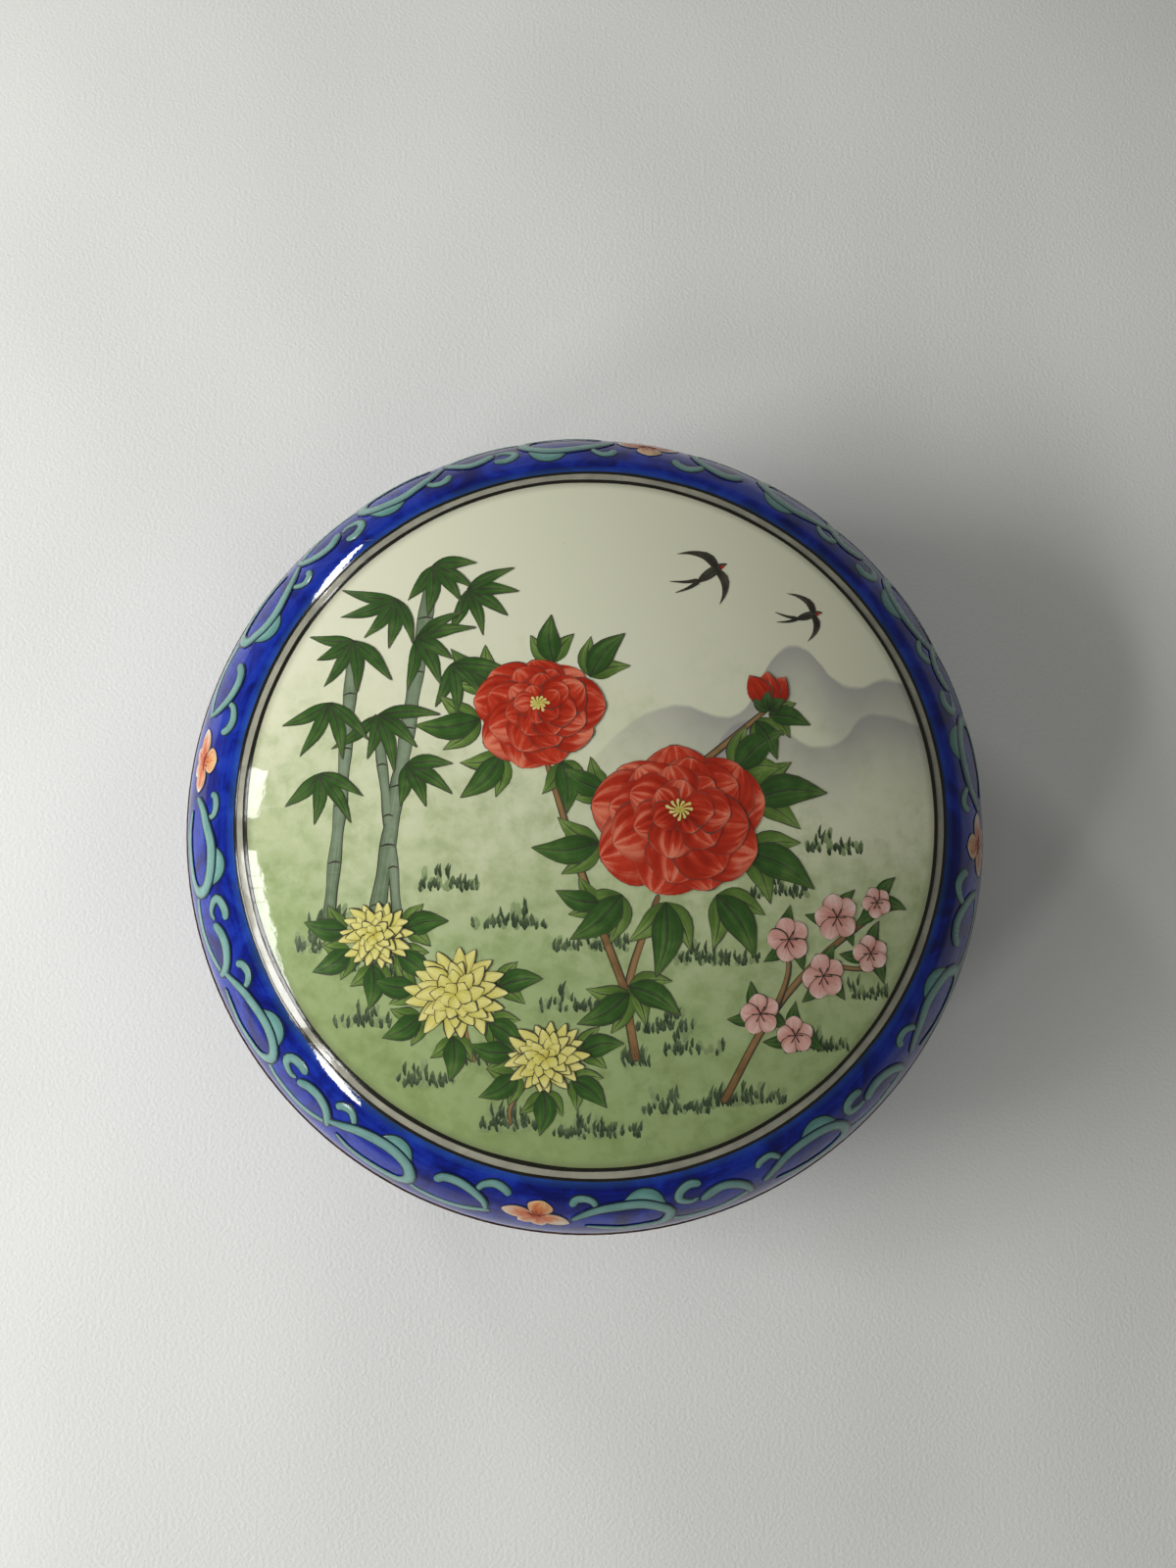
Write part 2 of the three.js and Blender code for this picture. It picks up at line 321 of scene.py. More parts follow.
# Materials
def linear(colour):
    """An sRGB hex colour as linear light."""
    parts = [int(colour[i : i + 2], 16) / 255 for i in (1, 3, 5)]
    return [p / 12.92 if p < 0.04045 else ((p + 0.055) / 1.055) ** 2.4 for p in parts] + [1.0]


def node(material, kind, inputs=None, stops=None, **settings):
    """Adds a node with its settings; an input is a value or the socket it is linked from."""
    made = material.node_tree.nodes.new(kind)
    for name, value in settings.items():
        setattr(made, name, value)
    for name, value in (inputs or {}).items():
        if isinstance(value, bpy.types.NodeSocket):
            material.node_tree.links.new(value, made.inputs[name])
        else:
            made.inputs[name].default_value = value
    for i, (place, colour) in enumerate(stops or []):
        ramp = made.color_ramp.elements
        stop = ramp[i] if i < 2 else ramp.new(place)
        stop.position = place
        stop.color = linear(colour)
    return made


def new_material(name):
    """An empty material and its coordinates."""
    material = bpy.data.materials.new(name)
    material.use_nodes = True
    material.node_tree.nodes.clear()
    return material, node(material, "ShaderNodeTexCoord")


PEEL_MM = 0.9
RIPPLE_DEPTH = 0.03 * MM
SCRATCHES = (60, 1900, 400)  # hair scratches some 17 mm long and 0.5 mm apart
WORN = 0.16  # how much rougher a scratch is


def fired_gloss(material, coords, colour, roughness, ripple_mm, ripple, peel_share=0.08):
    """The skin of fired glaze: glassy, faintly rippled, with fine scratches from handling."""
    where = coords.outputs["Object"]
    waves = node(material, "ShaderNodeTexNoise", {"Vector": where, "Scale": 1000 / ripple_mm, "Detail": 2.0})
    peel = node(material, "ShaderNodeTexNoise", {"Vector": where, "Scale": 1000 / PEEL_MM, "Detail": 1.0})
    height = node(
        material,
        "ShaderNodeMath",
        {0: peel.outputs["Fac"], 1: peel_share, 2: waves.outputs["Fac"]},
        operation="MULTIPLY_ADD",
    )
    bump = node(material, "ShaderNodeBump", {"Height": height.outputs[0], "Distance": RIPPLE_DEPTH * ripple})
    drawn = node(
        material,
        "ShaderNodeMapping",
        {"Vector": where, "Rotation": (0.3, 0.2, 0.7), "Scale": SCRATCHES},
    )
    hairs = node(material, "ShaderNodeTexNoise", {"Vector": drawn.outputs[0], "Scale": 1.0, "Detail": 3.0})
    worn = node(
        material,
        "ShaderNodeMapRange",
        {0: hairs.outputs["Fac"], 1: 0.62, 2: 0.75, 3: roughness, 4: roughness + WORN},
    )
    shader = node(
        material,
        "ShaderNodeBsdfPrincipled",
        {"Base Color": colour, "Roughness": worn.outputs[0], "Normal": bump.outputs[0], "IOR": 1.52},
    )
    node(material, "ShaderNodeOutputMaterial", {"Surface": shader.outputs[0]})
    return material


BRUSH_HAIRS = (1.5, 9, 1)  # streaks along a stroke and across its width
STROKE_DRIFT = (60, 60, 60)  # so that strokes some 17 mm apart have streaks of their own


def painted_enamel(name, along, pooled, mottle_mm=2.0, drift=0.25, roughness=0.14):
    """Overglaze enamel: shaded along each stroke, and deeper where it pooled at the stroke's edges."""
    material, coords = new_material(name)
    uv = node(material, "ShaderNodeSeparateXYZ", {0: coords.outputs["UV"]})
    cloud = node(
        material,
        "ShaderNodeTexNoise",
        {"Vector": coords.outputs["Object"], "Scale": 1000 / mottle_mm, "Detail": 3.0},
    )
    drag = node(material, "ShaderNodeMapping", {"Vector": coords.outputs["UV"], "Scale": BRUSH_HAIRS})
    own = node(
        material,
        "ShaderNodeVectorMath",
        {0: coords.outputs["Object"], 1: STROKE_DRIFT, 2: drag.outputs[0]},
        operation="MULTIPLY_ADD",
    )
    hairs = node(material, "ShaderNodeTexNoise", {"Vector": own.outputs[0], "Scale": 1.0, "Detail": 2.0})
    uneven = node(material, "ShaderNodeMath", {0: cloud.outputs["Fac"], 1: hairs.outputs["Fac"]})
    shift = node(
        material, "ShaderNodeMapRange", {0: uneven.outputs[0], 1: 0.7, 2: 1.3, 3: -drift, 4: drift}
    )
    place = node(material, "ShaderNodeMath", {0: uv.outputs["X"], 1: shift.outputs[0]}, use_clamp=True)
    shade = node(material, "ShaderNodeValToRGB", {"Fac": place.outputs[0]}, stops=along)
    aside = node(material, "ShaderNodeMath", {0: uv.outputs["Y"], 1: 0.5}, operation="SUBTRACT")
    away = node(material, "ShaderNodeMath", {0: aside.outputs[0]}, operation="ABSOLUTE")
    pool = node(material, "ShaderNodeMapRange", {0: away.outputs[0], 1: 0.2, 2: 0.5, 3: 0.0, 4: 0.6})
    tint = node(
        material,
        "ShaderNodeMix",
        {0: pool.outputs[0], 6: shade.outputs["Color"], 7: linear(pooled)},
        data_type="RGBA",
    )
    return fired_gloss(material, coords, tint.outputs[2], roughness, ripple_mm=4.0, ripple=1.2)


def clouded_glaze(name, stops, cloud_mm, roughness, ripple_mm, ripple):
    """A glaze or enamel ground whose colour drifts in soft clouds, as it was laid with a wide brush."""
    material, coords = new_material(name)
    cloud = node(
        material,
        "ShaderNodeTexNoise",
        {"Vector": coords.outputs["Object"], "Scale": 1000 / cloud_mm, "Detail": 4.0, "Distortion": 0.6},
    )
    shade = node(material, "ShaderNodeValToRGB", {"Fac": cloud.outputs["Fac"]}, stops=stops)
    return fired_gloss(material, coords, shade.outputs["Color"], roughness, ripple_mm, ripple)


# Hard white porcelain under clear glaze: a milky white that goes a little grey-green where the glaze is thick
white_glaze = clouded_glaze(
    "white_porcelain_clear_glaze",
    [(0.3, "#e5e7dd"), (0.7, "#edece3")],
    cloud_mm=14,
    roughness=0.08,
    ripple_mm=7,
    ripple=1.0,
)
# Cobalt enamel brushed round the box over the glaze and fired: a glassy deep blue with violet patches of some
# 7 mm and streaks of 0.6 mm along the brush, thin and greener in the last millimetre against the ring lines
PATCH_MM = 7
STREAK_MM = 0.6
STREAK_TURN = 4 * MM  # what a radian round the box counts for, so that the streaks run along the brush
THIN_EDGE = 0.5 * MM  # height over which the blue thins out
cobalt, coords = new_material("cobalt_overglaze_enamel")
where = coords.outputs["Object"]
spot = node(cobalt, "ShaderNodeSeparateXYZ", {0: where})
cloud = node(
    cobalt,
    "ShaderNodeTexNoise",
    {"Vector": where, "Scale": 1000 / PATCH_MM, "Detail": 5.0, "Roughness": 0.6, "Distortion": 0.8},
)
level = node(cobalt, "ShaderNodeCombineXYZ", {"X": spot.outputs["X"], "Y": spot.outputs["Y"]})
out = node(cobalt, "ShaderNodeVectorMath", {0: level.outputs[0]}, operation="LENGTH")
turn = node(cobalt, "ShaderNodeMath", {0: spot.outputs["Y"], 1: spot.outputs["X"]}, operation="ARCTAN2")
arc = node(cobalt, "ShaderNodeMath", {0: turn.outputs[0], 1: STREAK_TURN}, operation="MULTIPLY")
wound = node(
    cobalt, "ShaderNodeCombineXYZ", {"X": out.outputs["Value"], "Y": arc.outputs[0], "Z": spot.outputs["Z"]}
)
brush = node(
    cobalt, "ShaderNodeTexNoise", {"Vector": wound.outputs[0], "Scale": 1000 / STREAK_MM, "Detail": 3.0}
)
laid = node(
    cobalt,
    "ShaderNodeMath",
    {0: brush.outputs["Fac"], 1: 0.25, 2: cloud.outputs["Fac"]},
    operation="MULTIPLY_ADD",
)
blue = node(
    cobalt,
    "ShaderNodeValToRGB",
    {"Fac": laid.outputs[0]},
    stops=[(0.49, "#08125a"), (0.59, "#0b1c7a"), (0.67, "#112a92"), (0.75, "#18349c"), (0.86, "#2d2c8a")],
)
ring_z = lid_point(PANEL_SLOPE)[1] * MM
thin = node(
    cobalt,
    "ShaderNodeMapRange",
    {0: spot.outputs["Z"], 1: ring_z - THIN_EDGE, 2: ring_z, 3: 0.0, 4: 0.3},
)
edge = node(
    cobalt,
    "ShaderNodeMix",
    {0: thin.outputs[0], 6: blue.outputs["Color"], 7: linear("#3a6f9c")},
    data_type="RGBA",
)
fired_gloss(cobalt, coords, edge.outputs[2], roughness=0.045, ripple_mm=5, ripple=1.3, peel_share=0.2)
# Iron-brown slip brushed along the seam: dark and satin, thinner and lighter where the brush ran dry
seam_brown = clouded_glaze(
    "iron_brown_rim_dressing",
    [(0.3, "#2a180e"), (0.55, "#3f2716"), (0.75, "#6a4a30")],
    cloud_mm=3,
    roughness=0.3,
    ripple_mm=2,
    ripple=2.0,
)
# Thin grey enamel of the ring between the two black lines, a little cloudy from the brush
ring_grey = clouded_glaze(
    "thin_grey_ring_enamel",
    [(0.3, "#8b897b"), (0.7, "#a4a290")],
    cloud_mm=3,
    roughness=0.06,
    ripple_mm=5,
    ripple=1.0,
)
# Copper turquoise enamel: an opaque pale green-blue that pools darker at the edges
turquoise = painted_enamel(
    "copper_turquoise_enamel",
    [(0.0, "#59857f"), (0.45, "#769d96"), (1.0, "#5d8983")],
    "#356462",
    roughness=0.2,
)
# The same enamel laid thicker on the leaf caps, with more of its copper blue
cap_turquoise = painted_enamel(
    "copper_turquoise_leaf_enamel",
    [(0.0, "#51827d"), (0.5, "#72a198"), (1.0, "#5d8d86")],
    "#316060",
    roughness=0.2,
)
# Coral enamel of iron red in white: orange at the flower's heart, thinning to a cream edge
coral = painted_enamel(
    "coral_iron_red_enamel",
    [(0.0, "#a63a16"), (0.25, "#b85528"), (0.52, "#c58058"), (0.85, "#d0c6b3")],
    "#cbaf93",
    drift=0.3,
)
# Apricot enamel of each flower's upper petal, with more yellow in it
apricot = painted_enamel(
    "apricot_iron_enamel",
    [(0.0, "#b04a1d"), (0.4, "#c3723d"), (0.75, "#d3a575"), (1.0, "#dac6a0")],
    "#d7bb95",
    drift=0.3,
)
# Iron-red enamel for the flowers' hearts, thick and dark
heart_red = painted_enamel("iron_red_heart_enamel", [(0.0, "#8f3413"), (1.0, "#b9501f")], "#6d2811")
# Black line colour of iron and manganese, brushed thin: near black, browner where it ran thin
line_black = painted_enamel(
    "iron_manganese_black_line",
    [(0.0, "#23221b"), (0.5, "#171812"), (1.0, "#25231b")],
    "#2e2b22",
    roughness=0.1,
)
# The same line colour under the scroll: it sinks into the wet cobalt, which turns it a dark blue-green
outline_dark = painted_enamel(
    "black_line_sunk_in_cobalt", [(0.0, "#1a2a38"), (0.5, "#101a28"), (1.0, "#1c2d3a")], "#18283c", drift=0.4
)
# Thinned line colour of the picture: a soft grey-brown, uneven along each stroke of the brush
line_grey = painted_enamel(
    "thinned_black_brush_line", [(0.0, "#2c2b24"), (0.5, "#3c3a31"), (1.0, "#57554a")], "#4b493f", drift=0.5
)
# Watered grey-green enamel behind the grass, near to the colour of the ground
moss_wash = painted_enamel(
    "pale_grey_green_wash", [(0.0, "#76875a"), (0.5, "#869669"), (1.0, "#95a676")], "#8a9a6c", drift=0.5
)
# Grey-green enamel of the grass, dark at the root of each touch of the brush
moss = painted_enamel(
    "thin_grey_green_enamel", [(0.0, "#2b3626"), (0.5, "#44523a"), (1.0, "#6a7a55")], "#55654a", drift=0.5
)
# Iron-red enamel of the peonies: a dense warm red, dark at the petal's root and paler at its edge
peony_red = painted_enamel(
    "iron_red_peony_enamel",
    [(0.0, "#6b1208"), (0.4, "#a32511"), (0.72, "#c03a22"), (1.0, "#dd7d60")],
    "#9a2210",
    mottle_mm=4.0,
    drift=0.35,
)
# Copper-green enamels: transparent, so they darken where they lie thick over the ink
leaf_enamel = painted_enamel(
    "copper_green_leaf_enamel", [(0.0, "#27401c"), (0.5, "#3c5f2a"), (1.0, "#64823f")], "#2a441e"
)
olive_enamel = painted_enamel(
    "yellow_green_leaf_enamel", [(0.0, "#3b5423"), (0.5, "#5d7a36"), (1.0, "#8aa35a")], "#465f2a"
)
bamboo_enamel = painted_enamel(
    "grey_green_bamboo_enamel", [(0.0, "#5d6f50"), (0.5, "#84937a"), (1.0, "#66785a")], "#4c5c42"
)
# Antimony yellow enamel, thin and milky
gold_enamel = painted_enamel(
    "antimony_yellow_enamel", [(0.0, "#a8922c"), (0.45, "#cfc765"), (1.0, "#e2db93")], "#b3a84e"
)
# Pink enamel of colloidal gold in white, thin at the petal's edge
rose_enamel = painted_enamel(
    "gold_pink_enamel", [(0.0, "#bb6f62"), (0.5, "#d9a496"), (1.0, "#ebd0c4")], "#c48f82"
)
# Tan iron enamel of the woody stems
stem_enamel = painted_enamel(
    "tan_iron_stem_enamel", [(0.0, "#6e5233"), (0.5, "#9a7a50"), (1.0, "#7b5d3b")], "#5c4329"
)

# Bare porcelain where the pieces touch or stand: dry, cream, with a fine sandy grain and faint stains
GRIT_MM = 0.3
GRIT_DEPTH = 0.04 * MM
STAIN_MM = 6
biscuit, coords = new_material("bare_biscuit_porcelain")
where = coords.outputs["Object"]
grit = node(biscuit, "ShaderNodeTexNoise", {"Vector": where, "Scale": 1000 / GRIT_MM, "Detail": 2.0})
stain = node(biscuit, "ShaderNodeTexNoise", {"Vector": where, "Scale": 1000 / STAIN_MM, "Detail": 4.0})
clay = node(
    biscuit, "ShaderNodeValToRGB", {"Fac": stain.outputs["Fac"]}, stops=[(0.35, "#d9cfba"), (0.65, "#ebe3d2")]
)
sand = node(biscuit, "ShaderNodeBump", {"Height": grit.outputs["Fac"], "Distance": GRIT_DEPTH})
dry = node(
    biscuit,
    "ShaderNodeBsdfPrincipled",
    {"Base Color": clay.outputs["Color"], "Roughness": 0.75, "Normal": sand.outputs[0]},
)
node(biscuit, "ShaderNodeOutputMaterial", {"Surface": dry.outputs[0]})

# Ground of the picture: clear glaze above, and a celadon wash that deepens down the panel in brushed patches
WASH_TOP = 49 * MM
WASH_FOOT = -17 * MM
WASH_LEAN = 0.16  # the wash begins lower towards the right, by this share of the way across
PATCH_WASH_MM = 16
PATCH_REACH = 30 * MM
DAB_MM = 3
DAB_REACH = 26 * MM
picture_ground, coords = new_material("celadon_wash_over_white_glaze")
where = coords.outputs["Object"]
spot = node(picture_ground, "ShaderNodeSeparateXYZ", {0: where})
patches = node(
    picture_ground,
    "ShaderNodeTexNoise",
    {"Vector": where, "Scale": 1000 / PATCH_WASH_MM, "Detail": 5.0, "Roughness": 0.55},
)
lean = node(
    picture_ground,
    "ShaderNodeMath",
    {0: spot.outputs["X"], 1: WASH_LEAN, 2: spot.outputs["Y"]},
    operation="MULTIPLY_ADD",
)
ragged = node(
    picture_ground,
    "ShaderNodeMath",
    {0: patches.outputs["Fac"], 1: PATCH_REACH, 2: lean.outputs[0]},
    operation="MULTIPLY_ADD",
)
# Dabs of the wash brush
dabs = node(
    picture_ground,
    "ShaderNodeTexNoise",
    {"Vector": where, "Scale": 1000 / DAB_MM, "Detail": 4.0, "Roughness": 0.6, "Distortion": 0.2},
)
dabbed = node(
    picture_ground,
    "ShaderNodeMath",
    {0: dabs.outputs["Fac"], 1: DAB_REACH, 2: ragged.outputs[0]},
    operation="MULTIPLY_ADD",
)
depth = node(
    picture_ground,
    "ShaderNodeMapRange",
    {0: dabbed.outputs[0], 1: WASH_TOP, 2: WASH_FOOT, 3: 0.0, 4: 1.0},
)
wash = node(
    picture_ground,
    "ShaderNodeValToRGB",
    {"Fac": depth.outputs[0]},
    stops=[(0.0, "#dddec3"), (0.22, "#d6d9b8"), (0.45, "#bac499"), (0.7, "#9fb07b"), (1.0, "#90a26a")],
)
thick = node(picture_ground, "ShaderNodeMapRange", {0: dabs.outputs["Fac"], 1: 0.54, 2: 0.24, 3: 0.0, 4: 0.6})
lower = node(
    picture_ground, "ShaderNodeMath", {0: thick.outputs[0], 1: depth.outputs[0]}, operation="MULTIPLY"
)
mossy = node(
    picture_ground,
    "ShaderNodeMix",
    {0: lower.outputs[0], 6: wash.outputs["Color"], 7: linear("#76884f")},
    data_type="RGBA",
)
tinted = mossy.outputs[2]
# Iron specks in the glaze, 0.1 mm across and a few millimetres apart
SPECK_GAP_MM = 6
cells = node(picture_ground, "ShaderNodeTexVoronoi", {"Vector": where, "Scale": 1000 / SPECK_GAP_MM})
speck = node(
    picture_ground,
    "ShaderNodeMapRange",
    {0: cells.outputs["Distance"], 1: 0.008, 2: 0.02, 3: 0.6, 4: 0.0},
)
specked = node(
    picture_ground, "ShaderNodeMix", {0: speck.outputs[0], 6: tinted, 7: linear("#5e5644")}, data_type="RGBA"
)
tinted = specked.outputs[2]
# Far hills in a grey-violet wash: each has a ridge line, as shares of the panel, and fades out below it
HILL_SPAN = 50 * MM
HILL_H = 35 * MM
HILL_ROUGH = 4 * MM
HILL_EDGE = 0.6 * MM
HILL_FADE = 12 * MM
FAR_RIDGE = [
    (0.0, 0.0), (0.42, 0.0), (0.6, 0.34), (0.68, 0.3), (0.78, 0.62), (0.86, 0.44), (0.93, 0.5), (1.0, 0.3),
]
NEAR_RIDGE = [(0.0, 0.0), (0.5, 0.04), (0.64, 0.12), (0.72, 0.3), (0.82, 0.2), (0.9, 0.34), (1.0, 0.24)]
across = node(picture_ground, "ShaderNodeMapRange", {0: spot.outputs["X"], 1: -HILL_SPAN, 2: HILL_SPAN})
begun = node(picture_ground, "ShaderNodeMapRange", {0: across.outputs[0], 1: 0.46, 2: 0.64})
for ridge, strength in [(FAR_RIDGE, 0.62), (NEAR_RIDGE, 0.5)]:
    line = node(picture_ground, "ShaderNodeFloatCurve", {"Value": across.outputs[0]})
    curve = line.mapping.curves[0]
    for i, (x, y) in enumerate(ridge):
        if i < 2:
            curve.points[i].location = (x, y)
        else:
            curve.points.new(x, y)
    line.mapping.update()
    crest = node(
        picture_ground, "ShaderNodeMapRange", {0: line.outputs[0], 1: 0.0, 2: 1.0, 3: 0.0, 4: HILL_H}
    )
    rough = node(
        picture_ground,
        "ShaderNodeMath",
        {0: patches.outputs["Fac"], 1: HILL_ROUGH, 2: crest.outputs[0]},
        operation="MULTIPLY_ADD",
    )
    below = node(
        picture_ground, "ShaderNodeMath", {0: rough.outputs[0], 1: spot.outputs["Y"]}, operation="SUBTRACT"
    )
    edge = node(
        picture_ground,
        "ShaderNodeMapRange",
        {0: below.outputs[0], 1: 0.0, 2: HILL_EDGE, 3: 0.0, 4: strength},
    )
    fade = node(
        picture_ground, "ShaderNodeMapRange", {0: below.outputs[0], 1: 0.0, 2: HILL_FADE, 3: 1.0, 4: 0.0}
    )
    faint = node(
        picture_ground, "ShaderNodeMath", {0: begun.outputs[0], 1: fade.outputs[0]}, operation="MULTIPLY"
    )
    laid = node(
        picture_ground, "ShaderNodeMath", {0: edge.outputs[0], 1: faint.outputs[0]}, operation="MULTIPLY"
    )
    hill = node(
        picture_ground,
        "ShaderNodeMix",
        {0: laid.outputs[0], 6: tinted, 7: linear("#7f7a86")},
        data_type="RGBA",
    )
    tinted = hill.outputs[2]
# The wash turns darker, towards a grey-brown, over its last millimetre along the ring
RING_DARK_FROM = (INNER_LINE_R - 1.2) * MM
RING_DARK_TO = (INNER_LINE_R + 0.2) * MM
level = node(picture_ground, "ShaderNodeCombineXYZ", {"X": spot.outputs["X"], "Y": spot.outputs["Y"]})
out = node(picture_ground, "ShaderNodeVectorMath", {0: level.outputs[0]}, operation="LENGTH")
ring_dark = node(
    picture_ground,
    "ShaderNodeMapRange",
    {0: out.outputs["Value"], 1: RING_DARK_FROM, 2: RING_DARK_TO, 3: 0.0, 4: 0.4},
    interpolation_type="SMOOTHSTEP",
)
rimmed = node(
    picture_ground, "ShaderNodeMix", {0: ring_dark.outputs[0], 6: tinted, 7: linear("#5f5d4c")}, data_type="RGBA"
)
fired_gloss(
    picture_ground, coords, rimmed.outputs[2], roughness=0.035, ripple_mm=8, ripple=0.8, peel_share=0.14
)

# Drawing paper under the box: matt white with a soft grain and wide shallow buckles
TOOTH_MM = 0.6
TOOTH_DEPTH = 0.1 * MM
BUCKLE_MM = 70
BUCKLE_SHARE = 30.0  # how much deeper a buckle is than the grain
paper, coords = new_material("white_cartridge_paper")
where = coords.outputs["Object"]
tooth = node(paper, "ShaderNodeTexNoise", {"Vector": where, "Scale": 1000 / TOOTH_MM, "Detail": 3.0})
buckle = node(paper, "ShaderNodeTexNoise", {"Vector": where, "Scale": 1000 / BUCKLE_MM, "Detail": 1.0})
sheet_height = node(
    paper,
    "ShaderNodeMath",
    {0: buckle.outputs["Fac"], 1: BUCKLE_SHARE, 2: tooth.outputs["Fac"]},
    operation="MULTIPLY_ADD",
)
grain = node(paper, "ShaderNodeBump", {"Height": sheet_height.outputs[0], "Distance": TOOTH_DEPTH})
matt = node(
    paper,
    "ShaderNodeBsdfPrincipled",
    {"Base Color": linear("#e4e4e0"), "Roughness": 0.9, "Normal": grain.outputs[0]},
)
# Far from the box the sheet runs out into the pale backdrop, as the eye and the glaze see it
ROOM = linear("#d8d7d0")
BACKDROP = 0.45
FADE_START = 160 * MM
FADE_END = 360 * MM
far = node(paper, "ShaderNodeVectorMath", {0: where}, operation="LENGTH")
faded = node(
    paper,
    "ShaderNodeMapRange",
    {0: far.outputs["Value"], 1: FADE_START, 2: FADE_END, 3: 0.0, 4: 1.0},
    interpolation_type="SMOOTHSTEP",
)


def seen(tree):
    """One where the eye looks, or a mirror image or glass shows; nought for the light on the box."""
    ray = node(tree, "ShaderNodeLightPath")
    mirrored = node(
        tree,
        "ShaderNodeMath",
        {0: ray.outputs["Is Camera Ray"], 1: ray.outputs["Is Glossy Ray"]},
        operation="MAXIMUM",
    )
    return node(
        tree,
        "ShaderNodeMath",
        {0: mirrored.outputs[0], 1: ray.outputs["Is Transmission Ray"]},
        operation="MAXIMUM",
    ).outputs[0]


shown = node(paper, "ShaderNodeMath", {0: faded.outputs[0], 1: seen(paper)}, operation="MULTIPLY")
backdrop = node(paper, "ShaderNodeEmission", {"Color": ROOM, "Strength": BACKDROP})
sheet = node(paper, "ShaderNodeMixShader", {0: shown.outputs[0], 1: matt.outputs[0], 2: backdrop.outputs[0]})
node(paper, "ShaderNodeOutputMaterial", {"Surface": sheet.outputs[0]})
paper.cycles.emission_sampling = "NONE"


def finish_piece(piece, body, slot, *materials, nodes=()):
    """Gives a piece its materials and the body it moves with, and hides the frame's nodes that it stands in
    for.
    """
    piece.data.materials.clear()
    for material in materials:
        piece.data.materials.append(material)
    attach(piece, body)
    if nodes:
        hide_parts(*nodes)


# The base: bowl with its foot, seat and flange, then its coats
FOOT_BARE = 0.35  # height of the bare rim that the foot stands on
SEAT_BARE = 0.2  # how near to the seat and the flange's top the glaze was wiped off
SEAT_INSET = 0.3  # keeps the inner wall of the bowl glazed
fillet = [
    (BOWL_R - BOWL_FILLET * (1 - math.cos(a)), FLOOR_Z + BOWL_FILLET * (1 - math.sin(a)))
    for a in sweep(0, math.pi / 2, 16)
]
bowl = turned(
    "base_porcelain_bowl",
    [(0, RECESS_Z), (FOOT_R - FOOT_W, RECESS_Z), (FOOT_R - FOOT_W, 0), (FOOT_R, 0), (FOOT_R, FOOT_H)]
    + [base_point(a, ENAMEL) for a in sweep(BELLY_SLOPE, seam_slope(CHEEK_R), 24)]
    + [(FLANGE_R, SEAM_Z), (FLANGE_R, FLANGE_TOP), (BOWL_R, FLANGE_TOP)]
    + fillet
    + [(0, FLOOR_Z)],
    soft_edge=EDGE_SOFT,
)
finish_piece(bowl, "base", "porcelain", white_glaze, biscuit, nodes=["base_bowl"])
for face in bowl.data.polygons:
    out, height = math.hypot(*face.center[:2]) / MM, face.center[2] / MM
    on_foot = height < FOOT_BARE
    on_seat = out > BOWL_R + SEAT_INSET and abs(height - SEAM_Z) < SEAT_BARE
    on_flange = height > FLANGE_TOP - SEAT_BARE
    face.material_index = int(on_foot or on_seat or on_flange)

blue_top = SEAM_SLOPE - DRESSING_H / CHEEK_R
blue_foot = BELLY_SLOPE + LOWER_LINE_W / CHEEK_R
slopes = sweep(blue_foot, blue_top, 28)
base_blue = ring_coat(
    "base_cobalt_ground", [base_point(a) for a in slopes], [base_point(a, ENAMEL) for a in slopes]
)
finish_piece(base_blue, "base", "blue_enamel", cobalt, nodes=["base_blue_enamel"])
base_seam = ring_coat(
    "base_seam_line",
    [base_point(blue_top)]
    + soft_corner(base_point(SEAM_SLOPE - RIM_SOFT / CHEEK_R), (BOX_R, SEAM_Z), (BOX_R - RIM_SOFT, SEAM_Z)),
    [base_point(a, ENAMEL) for a in sweep(blue_top, seam_slope(CHEEK_R), 3)],
)
finish_piece(base_seam, "base", "brown_dressing", seam_brown, nodes=["base_rim_dressing"])
base_line = ring_coat(
    "base_lower_black_line",
    [base_point(a) for a in sweep(BELLY_SLOPE, blue_foot, 3)],
    [base_point(a, ENAMEL) for a in sweep(BELLY_SLOPE, blue_foot, 3)],
)
finish_piece(base_line, "base", "black_enamel", line_black, nodes=["base_lower_line"])

# The lid: domed shell, ground of the picture, grey ring, blue ground and the brown seam
inside = ENAMEL + LID_WALL
rebate_slope = math.acos((REBATE_Z - SHOULDER_Z) / (SHOULDER_R - inside))
outer_slopes = sweep(0, PANEL_SLOPE, 16)[:-1] + sweep(PANEL_SLOPE, seam_slope(SHOULDER_R), 18)
shell = turned(
    "lid_porcelain_shell",
    [lid_point(a, inside) for a in sweep(0, PANEL_SLOPE, 14)[:-1] + sweep(PANEL_SLOPE, rebate_slope, 10)]
    + [(MOUTH_R, REBATE_Z), (MOUTH_R, SEAM_Z)]
    + [lid_point(a, ENAMEL) for a in outer_slopes[::-1]],
    soft_edge=EDGE_SOFT,
)
finish_piece(shell, "lid", "porcelain", white_glaze, biscuit, nodes=["lid_shell"])
for face in shell.data.polygons:
    face.material_index = int(face.center[2] / MM < SEAM_Z + SEAT_BARE)

ground_slopes = sweep(0, crown_slope(0.5 * (INNER_LINE_R + GREY_LINE_R)), 22)
ground_top = []
for a in ground_slopes:
    out = lid_point(a)[0] / INNER_LINE_R
    ground_top.append(lid_point(a, PANEL_SINK * max(0.0, 1 - out * out)))
ground = turned("lid_picture_ground_glaze", ground_top + [lid_point(a, ENAMEL) for a in ground_slopes[::-1]])
finish_piece(ground, "lid", "picture_ground", picture_ground, nodes=["lid_picture_ground"])

